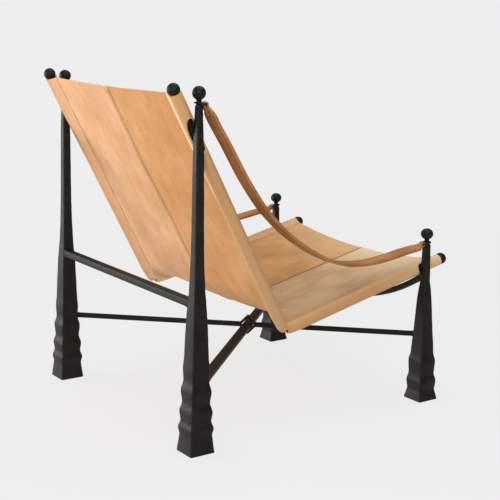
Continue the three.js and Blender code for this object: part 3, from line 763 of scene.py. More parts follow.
leatherValues = {
    "grain": {
        # sleeve is partly the leather's own warmth, partly a painted warm bounce light; hem is a painted
        # highlight; front is painted light and sheen
        "right": {"dark": "A9855C", "base": "BD9972", "light": "CBA981", "sleeve": "D6A46F",
                  "hem": "FFDCA8", "front": "E6D0AA"},
        "left": {"dark": "A27448", "base": "B4854F", "light": "C4966A", "sleeve": "D8A473",
                 "hem": "F0BE92", "front": "D8B082"},
        "roughness": (0.46, 0.58), "gloss": 0.35, "pebble": 0.25,
        # tones that come in: from which line, over which distances from it, and up to which share
        # sleeve: partly the leather's own warmer tone, partly a painted warm bounce light in the sleeve's
        # shade
        "zones": [("dark", "railSeam", (-0.075, 0.0), 0.45), ("sleeve", "railSeam", (0.0, 0.006), 0.75),
                  # hem: a painted highlight, a cream band beside each hem; front: painted light and sheen,
                  # paler towards the seat's front
                  ("hem", "hem", (-0.036, -0.020), 0.95), ("front", "front", (-0.20, 0.0), 0.7)],
    },
    "flesh": {
        "right": {"dark": "C48A57", "base": "CF9562", "light": "DAA272"},
        "left": {"dark": "CF9A6E", "base": "DAA77C", "light": "E4B58D"},
        "roughness": (0.72, 0.84), "gloss": 0.2, "pebble": 0.08, "zones": [],
    },
    "strap": {
        "dark": "935E2F", "base": "AE7643", "light": "C08B58",
        "roughness": (0.50, 0.62), "gloss": 0.35, "pebble": 0.2, "zones": [],
    },
    "waxAndShade": "4A2C12",           # wax and dust in a seam
    # dark tone of the seam lines: wax and dust, and painted shade along creases and beside the lap's step
    "edge": "E6C698", "edgeDark": "C89C68", "fibreSpacing": 0.0015,
    "patchSpacing": 0.11, "patchShare": 0.6,        # cloudy patches of the hide
    "streak": (0.030, 0.085), "streakShare": 0.4,   # width and length of the streaks
    "mottleSpacing": 0.006, "mottleShare": 0.6,
    "wrinkle": (0.045, 0.0045),     # length and spacing of the fine bending wrinkles
    "pebbleSpacing": 0.0019,    # grain pebbles, drawn about twice as coarse as they are
    "creaseSpacing": 0.014,
    "scarSpacing": 0.07,        # healed insect marks
    "creases": {"Strength": 0.2, "Distance": 0.001}, "wrinkles": {"Strength": 0.2, "Distance": 0.0003},
    "pebbleDepth": 0.00025,
}


def drawWaxAndShadeLine(tree, tone, across, place, half, strength):
    # a dark line along the sheet, at one distance across it: wax, and painted shade where it follows a
    # crease or a step
    offset = addNode(tree, "ShaderNodeMath", {"operation": "SUBTRACT", 1: place}, {0: across})
    distance = addNode(tree, "ShaderNodeMath", {"operation": "ABSOLUTE"}, {0: offset.outputs[0]})
    return fadeTone(tree, tone, distance.outputs[0], (half / 3, half), (strength, 0.0),
                    leatherValues["waxAndShade"])


def makeLeather(name, tones, values, lines, edges=None):
    # lines are dark ones, wax and painted shade; edges says how far the seam, the hem and the front lie
    # from the map's start
    material, tree = newMaterial(name)
    place = addNode(tree, "ShaderNodeTexCoord").outputs["Object"]
    flat = addNode(tree, "ShaderNodeUVMap", {"uv_map": "flat_metres"}).outputs["UV"]
    across, along, _ = addNode(tree, "ShaderNodeSeparateXYZ", links={0: flat}).outputs
    width, length = leatherValues["streak"]
    drawn = addNode(tree, "ShaderNodeVectorMath", {
        "operation": "MULTIPLY", 1: (1 / width, 1 / length, 1)}, {0: flat})
    streaks = addNode(tree, "ShaderNodeTexNoise", {"Scale": 1.0, "Detail": 3.0, "Roughness": 0.55}, {
        "Vector": drawn.outputs[0]})
    patches = addNode(tree, "ShaderNodeTexNoise", {
        "Scale": 1 / leatherValues["patchSpacing"], "Detail": 3.0, "Roughness": 0.5}, {"Vector": place})
    mottle = addNode(tree, "ShaderNodeTexNoise", {
        "Scale": 1 / leatherValues["mottleSpacing"], "Detail": 4.0, "Roughness": 0.7}, {"Vector": place})
    cloudy = addNode(tree, "ShaderNodeMath", {
        "operation": "MULTIPLY", 1: leatherValues["patchShare"]}, {0: patches.outputs["Fac"]})
    streaked = addNode(tree, "ShaderNodeMath", {
        "operation": "MULTIPLY", 1: leatherValues["streakShare"]}, {0: streaks.outputs["Fac"]})
    both = addNode(tree, "ShaderNodeMath", {"operation": "ADD"}, {
        0: cloudy.outputs[0], 1: streaked.outputs[0]})
    hide = addNode(tree, "ShaderNodeValToRGB", {
        "stops": [(0.34, tones["dark"]), (0.50, tones["base"]), (0.67, tones["light"])]},
        {"Fac": both.outputs[0]})
    speckle = addNode(tree, "ShaderNodeValToRGB", {"stops": [(0.35, 0.88), (0.62, 1.05)]}, {
        "Fac": mottle.outputs["Fac"]})
    speckled = addNode(tree, "ShaderNodeMix", {
        "data_type": "RGBA", "blend_type": "MULTIPLY", 0: leatherValues["mottleShare"]}, {
        6: hide.outputs["Color"], 7: speckle.outputs["Color"]})
    scars = addNode(tree, "ShaderNodeTexVoronoi", {"Scale": 1 / leatherValues["scarSpacing"]}, {
        "Vector": place})
    scar = addNode(tree, "ShaderNodeValToRGB", {"stops": [(0.0, 0.5), (0.05, 0.0)]}, {
        "Fac": scars.outputs["Distance"]})
    tone = addNode(tree, "ShaderNodeMix", {"data_type": "RGBA", 7: srgbToLinear(tones["dark"])}, {
        0: scar.outputs["Color"], 6: speckled.outputs[2]}).outputs[2]
    # zones fade tones in: the hem zone is a painted highlight, the front zone painted light and sheen, and
    # the sleeve zone partly a painted warm bounce light
    for goal, edge, (start, end), share in values["zones"]:
        reach = (edges[edge] + start, edges[edge] + end)
        tone = fadeTone(tree, tone, along if edge == "front" else across, reach, (0.0, share), tones[goal])
    # dark seam lines: painted shade along the crease and the lap's step, partly wax
    for line in lines:
        tone = drawWaxAndShadeLine(tree, tone, across, *line)
    low, high = values["roughness"]
    rough = addNode(tree, "ShaderNodeMapRange", {
        "From Min": 0.3, "From Max": 0.7, "To Min": low, "To Max": high},
        {"Value": mottle.outputs["Fac"]})
    pebbles = addNode(tree, "ShaderNodeTexVoronoi", {
        "feature": "DISTANCE_TO_EDGE", "Scale": 1 / leatherValues["pebbleSpacing"]}, {"Vector": place})
    pebble = addNode(tree, "ShaderNodeValToRGB", {"stops": [(0.0, 0.0), (0.25, 1.0)]}, {
        "Fac": pebbles.outputs["Distance"]})
    creases = addNode(tree, "ShaderNodeTexNoise", {
        "Scale": 1 / leatherValues["creaseSpacing"], "Detail": 4.0, "Roughness": 0.6}, {"Vector": place})
    wide, spacing = leatherValues["wrinkle"]
    bent = addNode(tree, "ShaderNodeVectorMath", {
        "operation": "MULTIPLY", 1: (1 / wide, 1 / spacing, 1)}, {0: flat})
    wrinkles = addNode(tree, "ShaderNodeTexNoise", {"Scale": 1.0, "Detail": 2.0}, {
        "Vector": bent.outputs[0]})
    soft = addNode(tree, "ShaderNodeBump", leatherValues["creases"], {"Height": creases.outputs["Fac"]})
    fine = addNode(tree, "ShaderNodeBump", leatherValues["wrinkles"], {
        "Height": wrinkles.outputs["Fac"], "Normal": soft.outputs[0]})
    skin = addNode(tree, "ShaderNodeBump", {
        "Strength": values["pebble"], "Distance": leatherValues["pebbleDepth"]}, {
        "Height": pebble.outputs["Color"], "Normal": fine.outputs[0]})
    finishMaterial(tree, {"Specular IOR Level": values["gloss"]},
                   {"Base Color": tone, "Roughness": rough.outputs[0], "Normal": skin.outputs[0]})
    return material


def makeCutEdge():
    material, tree = newMaterial("burnished cut leather edge")   # pale fibres, pressed and waxed smooth
    place = addNode(tree, "ShaderNodeTexCoord").outputs["Object"]
    fibre = addNode(tree, "ShaderNodeTexNoise", {
        "Scale": 1 / leatherValues["fibreSpacing"], "Detail": 3.0}, {"Vector": place})
    tone = addNode(tree, "ShaderNodeValToRGB", {
        "stops": [(0.3, leatherValues["edgeDark"]), (0.7, leatherValues["edge"])]},
        {"Fac": fibre.outputs["Fac"]})
    finishMaterial(tree, {"Roughness": 0.55}, {"Base Color": tone.outputs["Color"]})
    return material


cutEdge = makeCutEdge()

# Thread: waxed linen, laid in stitches that sink a little into the leather

stitchValues = {
    "pitch": 0.0075, "length": 0.0060, "radius": 0.00055, "flattened": 0.8, "margin": 0.010,
    "tan": "C4905C", "brown": "5E3B1C", "plySpacing": 0.0012,
}


def makeThread(name, tone):
    material, tree = newMaterial(name)     # a faint twist and a waxy gloss
    place = addNode(tree, "ShaderNodeTexCoord").outputs["Object"]
    plies = addNode(tree, "ShaderNodeTexNoise", {"Scale": 1 / stitchValues["plySpacing"], "Detail": 2.0}, {
        "Vector": place})
    shade = addNode(tree, "ShaderNodeValToRGB", {"stops": [(0.35, 0.75), (0.65, 1.1)]}, {
        "Fac": plies.outputs["Fac"]})
    colour = addNode(tree, "ShaderNodeMix", {
        "data_type": "RGBA", "blend_type": "MULTIPLY", 0: 1.0, 6: srgbToLinear(tone)}, {
        7: shade.outputs["Color"]})
    finishMaterial(tree, {"Roughness": 0.5}, {"Base Color": colour.outputs[2]})
    return material


tanThread = makeThread("waxed tan linen thread", stitchValues["tan"])
brownThread = makeThread("waxed brown linen thread", stitchValues["brown"])


def modelStitch():
    # one plump stitch along Y, flattened where it lies on the leather
    clearSelection()
    bpy.ops.mesh.primitive_uv_sphere_add(segments=6, ring_count=6, radius=1, location=(0, 0, 0),
                                         rotation=(math.pi / 2, 0, 0))
    stitch = bpy.context.object
    applyPlace(stitch)
    radius = stitchValues["radius"]
    points = np.array([tuple(vertex.co) for vertex in stitch.data.vertices])
    points *= (radius, stitchValues["length"] / 2, stitchValues["flattened"] * radius)
    faces = [tuple(polygon.vertices) for polygon in stitch.data.polygons]
    bpy.data.objects.remove(stitch)
    return points, faces


stitchPoints, stitchFaces = modelStitch()


def sewRows(rows, name, material, body):
    # rows lists (path, normals, lift): stitches lie along each path, lift above it
    vertices, faces = [], []
    for path, normals, lift in rows:
        travelled = lengthsAlong(path)
        count = int((travelled[-1] - 2 * stitchValues["margin"]) / stitchValues["pitch"])
        at = stitchValues["margin"] + stitchValues["pitch"] * np.arange(count + 1)
        place, ahead, up = (
            np.stack([np.interp(at + step, travelled, data[:, k]) for k in range(3)], 1)
            for data, step in ((path, 0), (path, stitchValues["length"] / 2), (normals, 0)))
        along = ahead - place
        along /= np.linalg.norm(along, axis=1, keepdims=True)
        up -= along * (up * along).sum(1, keepdims=True)
        up /= np.linalg.norm(up, axis=1, keepdims=True)
        side = np.cross(along, up)
        for p, a, u, b in zip(place, along, up, side):
            first = len(vertices) * len(stitchPoints)
            vertices.append(p + u * lift + stitchPoints @ np.array((b, a, u)))
            faces += [tuple(first + i for i in face) for face in stitchFaces]
    piece = addMesh(name, np.concatenate(vertices).tolist(), [], faces)
    faceOutwards(piece)
    smoothEdges(piece, 80)
    return finishPiece(piece, name, material, body)


# The sling's two panels. Each is one sheet: from the lap at the middle, over the rail on the sitter's
# side, round it, and back to the hem that is sewn to the sheet's own underside.

slingValues = {
    "thickness": 0.003,
    "sleeveRadius": 0.015,
    "edgeRise": 0.003,
    "backTopSag": 0.008, "backLowSag": 0.013, "seatSag": 0.028,
    "seatSagFrom": (1.35, 2.1),     # stations over which the seat's deeper sag comes in
    "sagPower": 2.4,
    "middleBendRadius": 0.150,      # the sheet cuts across the rails' bend
    "cornerBendRadius": 0.018,      # the sleeve is pulled into a sharp corner outside it
    "cornerPinch": 0.55, "pinchReach": 0.055, "pinchFrom": 0.003,
    "bendBlend": 0.028,
    "endGap": 0.010,            # from a ball's centre to the cut end
    "lap": 0.007, "lapRun": 0.014, "fitGap": 0.0003,
    # from the rail to the seam: at the top, the bend and the front
    "stitchInboard": {"right": (0.037, 0.018, 0.019), "left": (0.024, 0.017, 0.019)},
    "hemPastStitch": 0.005, "skived": 0.35,     # an edge is pared down to this share of the leather
    "paring": 0.0075, "paredColumns": 4,    # of the left panel's lap edge
    "lapStitch": 0.0035,        # from the chair's middle to each row
    "seamPull": 0.009, "seamPullReach": 0.026,      # the lap's doubled leather pulls taut low in the back
    "seamPullFrom": (0.35, 0.8), "seamPullTo": (1.3, 1.8),      # stations
    "rows": (130, 60, 84),      # down the back, round the bend, along the seat
    "columns": (62, 5, 26, 5, 3), "lapColumns": 15,     # sheet, rise, wrap, return and hem
}
sheetEdge = railX - slingValues["sleeveRadius"]


def sheetLevel(x, s):
    values = slingValues
    back = mix(values["backTopSag"], values["backLowSag"], min(s, 1))
    sag = mix(back, values["seatSag"], float(smoothstep(s, *values["seatSagFrom"])))
    low = float(smoothstep(s, *values["seamPullFrom"]) * (1 - smoothstep(s, *values["seamPullTo"])))
    pull = values["seamPull"] * low * np.exp(-(x / values["seamPullReach"]) ** 2)
    return values["edgeRise"] - sag * np.maximum(0, 1 - (x / sheetEdge) ** values["sagPower"]) + pull


def slingSection(s, side):
    # (x, level) across the panel at one station, level being the height towards the sitter
    lap, lapTo = slingValues["lap"], slingValues["lap"] + slingValues["lapRun"]
    thick, halfPared = slingValues["thickness"], (1 - slingValues["skived"]) / 2
    sheetCount, rise, wrap, back, hem = slingValues["columns"]
    lapCount = slingValues["lapColumns"]
    inboard = float(np.interp(s, (0, 1, 3), slingValues["stitchInboard"][side]))
    seamX = railX - inboard
    sheetX = np.concatenate((np.linspace(-lap, lapTo, lapCount + 1),
                             np.linspace(lapTo, seamX, sheetCount - lapCount + 1)[1:]))
    drop = 0 if side == "right" else thick + slingValues["fitGap"]
    sheet = np.stack((sheetX, sheetLevel(abs(sheetX), s) - drop * (1 - smoothstep(sheetX, lap, lapTo))), 1)
    if side == "left":      # its pared lap edge lies close behind the other panel
        sheet[:, 1] += halfPared * thick * np.maximum(0, 1 - (sheetX + lap) / slingValues["paring"])
    centre = np.array((railX, 0.0))
    radius = slingValues["sleeveRadius"] - thick / 2
    over, under = sheet[-1] - centre, sheet[-1] - centre - (0, thick)
    turn = 2 * math.pi
    start = math.atan2(over[1], over[0]) % turn - math.acos(radius / np.linalg.norm(over))
    end = math.atan2(under[1], under[0]) % turn + math.acos(radius / np.linalg.norm(under)) - turn
    angles = np.linspace(start, end, wrap + 1)
    round_ = centre + radius * np.stack((np.cos(angles), np.sin(angles)), 1)
    up = mix(sheet[-1], round_[0], np.linspace(0, 1, rise + 1)[1:-1, None])
    seam = centre + under
    down = mix(round_[-1], seam, np.linspace(0, 1, back + 1)[1:, None])
    out = np.linspace(0, 1, hem + 1)[1:]
    hemX = seamX - slingValues["hemPastStitch"] * out
    flap = np.stack((hemX, sheetLevel(abs(hemX), s) - thick * (1 - halfPared * out)), 1)
    section = np.concatenate((sheet, up, round_, down, flap))
    for _ in range(2):      # leather this thick can't crease sharply
        section[1:-1] = (section[:-2] + 2 * section[1:-1] + section[2:]) / 4
    return section


def cornerDistance(stations):
    # metres from the middle of the rails' bend
    back = np.linalg.norm(railCorner - railTop) - railTangent
    seat = np.linalg.norm(railFront - railCorner) - railTangent
    arc = railValues["bendRadius"] * bendAngle
    return np.maximum(0, 1 - stations) * back + np.maximum(0, stations - 2) * seat \
        + abs(np.clip(stations, 1, 2) - 1.5) * arc


def slingGrid(side):
    stations = pathStations(*slingValues["rows"])
    railLine, direction = bentPath(railValues["bendRadius"], slingValues["endGap"], stations)
    middleLine, _ = bentPath(slingValues["middleBendRadius"], slingValues["endGap"], stations)
    cornerLine, _ = bentPath(slingValues["cornerBendRadius"], slingValues["endGap"], stations)
    sections = np.array([slingSection(s, side) for s in stations])
    x, level = sections[..., 0], sections[..., 1]
    blend = 1 - np.exp(-np.maximum(0, sheetEdge - abs(x)) / slingValues["bendBlend"])
    sharp = smoothstep(abs(x), sheetEdge, railX)
    near = np.maximum(0, 1 - cornerDistance(stations) / slingValues["pinchReach"])[:, None]
    sleeve = (np.arange(x.shape[1]) > slingValues["columns"][0])[None]
    pinched = np.maximum(0, -level - slingValues["pinchFrom"])
    level = level + slingValues["cornerPinch"] * near * sleeve * pinched
    base = railLine[:, None] + (middleLine - railLine)[:, None] * blend[..., None] \
        + (cornerLine - railLine)[:, None] * sharp[..., None]
    base = base + sitterSide(direction)[:, None] * level[..., None]
    return np.dstack((sideSigns[side] * x, base)), stations


def gridNormals(grid, sign):
    down, across = np.gradient(grid, axis=0), np.gradient(grid, axis=1)
    normals = np.cross(down, across) * sign
    return normals / np.linalg.norm(normals, axis=2, keepdims=True)


def gridLengths(grid):
    # how far each point lies across and along the cut sheet
    across = np.linalg.norm(np.diff(grid, axis=1), axis=2).mean(0)
    along = np.linalg.norm(np.diff(grid, axis=0), axis=2).mean(1)
    return np.concatenate(([0], np.cumsum(across))), np.concatenate(([0], np.cumsum(along)))


def sheetNoise(flat, spacing, seed):
    # slow noise over the cut sheet
    points = (flat / spacing).reshape(-1, 2)
    return np.array([noise.noise(Vector((*point, seed))) for point in points]).reshape(flat.shape[:2])


restingValues = {       # how the hung leather gives
    "seed": {"right": 3.1, "left": 8.7},
    "swell": 0.0018, "swellSpacing": 0.16, "swellEase": 0.03,
    "pucker": 0.0009, "puckerSpacing": (0.034, 0.09), "puckerReach": 0.026,     # along and across
    "gather": 0.0012, "gatherSpacing": (0.030, 0.12),
    "gatherFrom": (0.7, 1.1), "gatherTo": (2.0, 2.5),       # stations
    "lapEase": (0.01, 0.05),        # the lap lies flat
    "stitchSink": 0.0006, "stitchReach": 0.003, "stitchColumns": 3,
}


def restingRelief(grid, stations, side):
    # slow swells over the sheet, puckers along the seam, and gathers where the sling turns its corner
    values = restingValues
    seed = values["seed"][side]
    seamColumn = slingValues["columns"][0]
    column = np.arange(grid.shape[1])[None]
    x = abs(grid[..., 0])
    fromSeam = x[:, seamColumn][:, None] - x
    across, along = gridLengths(grid)
    flat = np.stack(np.meshgrid(along, across, indexing="ij"), -1)
    swell = sheetNoise(flat, values["swellSpacing"], seed)
    pucker = sheetNoise(flat, values["puckerSpacing"], seed + 1)
    gather = sheetNoise(flat, values["gatherSpacing"], seed + 2)
    inSheet = smoothstep(fromSeam, 0, values["swellEase"]) * (column <= seamColumn)
    near = np.exp(-abs(fromSeam) / values["puckerReach"])
    corner = (smoothstep(stations, *values["gatherFrom"])
              * (1 - smoothstep(stations, *values["gatherTo"])))[:, None]
    clear = smoothstep(x, *values["lapEase"])
    sewn = np.exp(-(fromSeam / values["stitchReach"]) ** 2)
    sewn = sewn * (column <= seamColumn + values["stitchColumns"])
    return clear * inSheet * values["swell"] * swell + near * values["pucker"] * pucker \
        + clear * inSheet * corner * values["gather"] * gather + sewn * values["stitchSink"]


cutValues = {
    # the notches stop short of the rail's middle; their lengths are along the sleeve's side
    "pastRail": -0.003, "rearNotch": 0.096, "frontNotch": 0.036, "overrun": 0.006,
    "slitWidth": 0.006, "slitStart": -0.032, "slitTop": 0.006,      # it starts this far from the bend's end
    "slitSplay": (0.026, 0.006),    # the slit opens out on its lower side, most of all towards the corner
    "splayInboard": 0.014, "splayTop": 0.003, "splayOverlap": 0.0005,
}


def notchCutter(side, passing, direction, length):
    # a half-moon that lets a post through the outer side of the sleeve
    radius = slingValues["sleeveRadius"]
    depth = radius + cutValues["pastRail"]
    notch = ((length / 2) ** 2 + depth ** 2) / (2 * depth)
    clearSelection()
    bpy.ops.mesh.primitive_cylinder_add(
        vertices=160, radius=notch, depth=2 * (radius + cutValues["overrun"]),
        location=(sideSigns[side] * (railX - cutValues["pastRail"] + notch), *passing),
        rotation=Vector((0, *sitterSide(direction))).to_track_quat("Z", "Y").to_euler())
    return bpy.context.object


def slitCutters(side):
    # the slit beside the bend, and the splayed opening under it
    start = railCorner + seatDirection * (railTangent + cutValues["slitStart"])
    reach = slingValues["sleeveRadius"] + cutValues["overrun"]
    width, top = cutValues["slitWidth"], cutValues["slitTop"]
    (splayBack, splayFront), splayTop = cutValues["slitSplay"], cutValues["splayTop"]
    overlap = cutValues["splayOverlap"]
    tools = []
    straight = [(0, -reach), (width, -reach), (width, top), (0, top)]
    splayed = [(-overlap, splayTop), (-splayBack, -reach), (width + splayFront, -reach),
               (width + overlap, splayTop)]
    for inner, outline in ((railX, straight), (railX - cutValues["splayInboard"], splayed)):
        flat = [start + seatDirection * run + sitterSide(seatDirection) * level for run, level in outline]
        count = len(flat)
        vertices = [(sideSigns[side] * x, *point) for x in (inner, railX + reach) for point in flat]
        faces = [tuple(range(count)), tuple(range(count, 2 * count))]
        faces += [(k, (k + 1) % count, (k + 1) % count + count, k + count) for k in range(count)]
        tools.append(addMesh("slit", vertices, [], faces))
        faceOutwards(tools[-1])
    return tools


seamShadeAndWaxLines = {       # dark lines, painted crease shade at the rail seam and partly painted shadow beside the lap: half width, and how strong each is on the two sides of the leather
    "rail": {"half": 0.0022, "flesh": 0.25, "grain": 0.40},
    # lap and cut: a dark line partly wax, partly a painted shadow beside the lap's step
    "lap": {"half": 0.0032, "past": 0.0012, "flesh": 0.10, "grain": 0.85},
    "cut": {"half": 0.0054, "past": 0.0015, "grain": 0.90},
}


def leatherSlots(side, across, along):
    # flesh side, grain side and cut edge, with the dark lines of this panel's seams: painted crease shade
    # and painted shadow, partly wax
    edges = {"railSeam": float(across[slingValues["columns"][0]]), "hem": float(across[-1]),
             "front": float(along[-1])}
    rail, lap, cut = (seamShadeAndWaxLines[key] for key in ("rail", "lap", "cut"))
    slots = []
    for kind, lapSide, name in (("flesh", "right", "matt flesh side of cowhide"),
                                ("grain", "left", "oiled full-grain cowhide")):
        # the rail seam's dark line is painted shade of the crease where the sheet meets the sleeve
        lines = [(edges["railSeam"], rail["half"], rail[kind])]
        # beside the lap, the dark line is partly wax and partly a painted shadow of the lap's step
        if side == lapSide:
            lines.append((2 * slingValues["lap"] + lap["past"], lap["half"], lap[kind]))
        elif kind == "grain":
            lines.append((cut["past"], cut["half"], cut[kind]))
        values = leatherValues[kind]
        slots.append(makeLeather(f"{name} {side}", values[side], values, lines, edges))
    return (*slots, cutEdge)


def makePanel(side):
    grid, stations = slingGrid(side)
    sign = -sideSigns[side]
    grid = grid + gridNormals(grid, sign) * restingRelief(grid, stations, side)[..., None]
    rows, columns = grid.shape[:2]
    faces = []
    for row in range(rows - 1):
        for column in range(columns - 1):
            a = row * columns + column
            face = (a, a + 1, a + columns + 1, a + columns)
            faces.append(face if sign < 0 else face[::-1])
    piece = addMesh("panel", grid.reshape(-1, 3).tolist(), [], faces)
    across, along = gridLengths(grid)
    layer = piece.data.uv_layers.new(name="flat_metres")
    for loop in piece.data.loops:
        row, column = divmod(loop.vertex_index, columns)
        layer.data[loop.index].uv = (across[column], along[row])
    slots = leatherSlots(side, across, along)
    for material in slots:
        piece.data.materials.append(material)
    hem = slingValues["columns"][-1]
    full = piece.vertex_groups.new(name="thickness")
    for column in range(columns):
        share = mix(1, slingValues["skived"], max(0, column - (columns - 1 - hem)) / hem)
        if side == "left":      # its lap edge shows behind, pared thin
            share = min(share, mix(slingValues["skived"], 1, min(1, column / slingValues["paredColumns"])))
        full.add(list(range(column, rows * columns, columns)), share, "REPLACE")
    applyModifier(piece, "SOLIDIFY", thickness=slingValues["thickness"], offset=0, use_even_offset=True,
                  material_offset=1, material_offset_rim=2, vertex_group="thickness",
                  thickness_vertex_group=0.0)
    tools = [notchCutter(side, rearPass, backDirection, cutValues["rearNotch"]),
             notchCutter(side, frontPass, seatDirection, cutValues["frontNotch"]), *slitCutters(side)]
    for tool in tools:
        for material in slots:
            tool.data.materials.append(material)
        for polygon in tool.data.polygons:
            polygon.material_index = 2
        applyModifier(piece, "BOOLEAN", object=tool, operation="DIFFERENCE", solver="EXACT")
        bpy.data.objects.remove(tool)
    smoothEdges(piece, 40)
    finishPiece(piece, f"sling_leather_{side}", None, "frame", [f"sling_panel_{side}"])
    return piece, (across[-1], along[-1]), grid, gridNormals(grid, sign)


def seamRows(grid, normals):
    # the rail seam shows on the sheet and behind it, on the hem
    thick, seam = slingValues["thickness"], slingValues["columns"][0]
    path, up = grid[:, seam], normals[:, seam]
    return [(path, -up, thick / 2), (path, up, 1.5 * thick)]


def lapRows(grids):
    # two rows down the lap: on the sitter's side in the right panel, and behind in the left one
    both = []
    for side, way in (("right", -1), ("left", 1)):
        grid, normals = grids[side]
        rows = []
        for x in (-slingValues["lapStitch"], slingValues["lapStitch"]):
            column = int(abs(grid[0, :, 0] * sideSigns[side] - x).argmin())
            rows.append((grid[:, column], way * normals[:, column], slingValues["thickness"] / 2))
        both.append(rows)
    return both


grids = {}
panels = {}
for side in sideSigns:
    panel, flat, grid, normals = makePanel(side)
    grids[side], panels[side] = (grid, normals), (panel, flat)
    print(f"sling panel {side} is hung, cut {flat[0]:.3f} by {flat[1]:.3f} m")
frontLap, backLap = lapRows(grids)
lapThreads = [sewRows(frontLap, "lap_thread_front", brownThread, "frame"),
              sewRows(backLap, "lap_thread_back", tanThread, "frame")]
for side, (panel, flat) in panels.items():
    thread = sewRows(seamRows(*grids[side]), f"rail_seam_thread_{side}", tanThread, "frame")
print("the sling is sewn")


# Arm straps: two thicknesses of leather glued and sewn, hung from the rings

strapValues = {
    "width": 0.042, "thickness": 0.0075, "tongueWidth": 0.012, "loopWall": 0.003,
    "taper": (0.026, 0.022),    # the length over which it widens, at the rear and at the front
    # the drop from the rear ring to the front one, as (share of the span, share of the drop)
    "shares": [(0.037, 0.11), (0.081, 0.23), (0.172, 0.485), (0.264, 0.69), (0.404, 0.895), (0.56, 1.035),
               (0.68, 1.072), (0.8, 1.062), (0.9, 1.035), (0.97, 1.018)],
    "leave": (0.8, 0.6), "arrive": (1, 0.1),
    "steps": 200,
    "edgeRound": 0.0011, "crown": 0.0005,
    "glueLine": 0.0004, "glueHalf": 0.0005,
    "crease": 0.0005, "creaseHalf": 0.0007, "creaseIn": 0.0040,     # a line pressed along each border
    "creaseSoil": (0.0012, 0.6),        # half width and strength of the wax in it
    "stitchIn": 0.0065, "stitchLift": 0.0002, "sewn": (0.10, 0.95),     # shares of the strap's length
}
tongueValues = {        # the folded end of the lower leather, one at each ring
    "lead": 0.010, "leadLift": 0.0004,
    "wrap": (-60, 190, 20),     # degrees round the wire, and points on the way
    # back under the strap: distance from the wire's middle, share of the drop
    "back": [(0.008, 0.25), (0.013, 0.7), (0.018, 1), (0.026, 1)],
    "points": 70,
    "tipFrom": 0.9, "tipPared": 0.55,       # the last part narrows to a blunt point
    "cutPoints": 4,         # points whose faces show the cut edge
}


def smoothLine(points, count):
    # a centripetal curve through the points, resampled evenly
    points = np.array(points, float)
    padded = np.vstack((2 * points[0] - points[1], points, 2 * points[-1] - points[-2]))
    line = []
    for p0, p1, p2, p3 in zip(padded, padded[1:], padded[2:], padded[3:]):
        t0 = 0
        t1 = t0 + np.linalg.norm(p1 - p0) ** 0.5
        t2 = t1 + np.linalg.norm(p2 - p1) ** 0.5
        t3 = t2 + np.linalg.norm(p3 - p2) ** 0.5
        for t in np.linspace(t1, t2, 40, endpoint=False):
            a1, a2, a3 = (mix(a, b, (t - ta) / (tb - ta)) for a, b, ta, tb in (
                (p0, p1, t0, t1), (p1, p2, t1, t2), (p2, p3, t2, t3)))
            b1, b2 = mix(a1, a2, (t - t0) / (t2 - t0)), mix(a2, a3, (t - t1) / (t3 - t1))
            line.append(mix(b1, b2, (t - t1) / (t2 - t1)))
    line.append(points[-1])
    line = np.array(line)
    travelled = lengthsAlong(line)
    even = np.linspace(0, travelled[-1], count)
    return np.stack([np.interp(even, travelled, line[:, k]) for k in (0, 1)], 1), travelled[-1]


def strapHook(row, side):
    # the lowest point of the ring's wire, on the side towards the strap
    centre = middleOf(f"strap_ring_{row}_{side}")
    tilt = math.radians(ringValues["tilt"])
    return np.array((centre.y + postRows[row] * ringValues["radius"] * math.cos(tilt),
                     centre.z - ringValues["radius"] * math.sin(tilt)))


def strapOutline(half, thick):
    # (across, up) round the section: worn edges, a glue line, and a crease near each border
    values = strapValues
    edge = min(values["edgeRound"], 0.35 * thick)
    crease = min(values["creaseIn"], 0.5 * half)
    depth = values["crease"] * min(1, half / values["creaseIn"] / 3)
    glue, hollow = values["glueHalf"], values["creaseHalf"]
    side = [(half - 0.3 * edge, 0.3 * edge - thick), (half, edge - thick), (half, -glue),
            (half - values["glueLine"], 0), (half, glue), (half, thick - edge),
            (half - 0.3 * edge, thick - 0.3 * edge)]
    stops = [half - edge, half - crease + hollow, half - crease, half - crease - hollow]
    spread = [mix(stops[-1], -stops[-1], k / 8) for k in range(1, 8)]
    face = [(x, thick + values["crown"] * (1 - (x / half) ** 2))
            for x in stops + spread + [-x for x in stops[::-1]]]
    face[2] = (face[2][0], face[2][1] - depth)
    face[-3] = (face[-3][0], face[-3][1] - depth)
    return side + face + [(-x, -y) for x, y in side] + [(-x, -y) for x, y in face]


def sweepStrip(line, normals, x, outlines, name):
    # a closed strip whose section changes along its line, with its flat size as its map
    vertices, faces = [], []
    around = len(outlines[0])
    for point, normal, outline in zip(line, normals, outlines):
        vertices += [(x + u, *(point + normal * v)) for u, v in outline]
    count = len(line)
    for index in range(count - 1):
        for k in range(around):
            a, b = index * around + k, index * around + (k + 1) % around
            faces.append((a, b, b + around, a + around))
    faces.append(tuple(range(around))[::-1])
    faces.append(tuple(range((count - 1) * around, count * around)))
    piece = addMesh(name, vertices, [], faces)
    travelled = lengthsAlong(line)
    layer = piece.data.uv_layers.new(name="flat_metres")
    for loop in piece.data.loops:
        station, k = divmod(loop.vertex_index, around)
        layer.data[loop.index].uv = (outlines[station][k][0] + strapValues["width"] / 2, travelled[station])
    faceOutwards(piece)
    smoothEdges(piece, 32)
    return piece


def lineNormals(line):
    tangent = np.gradient(line, axis=0)
    tangent /= np.linalg.norm(tangent, axis=1)[:, None]
    return np.stack((tangent[:, 1], -tangent[:, 0]), 1)


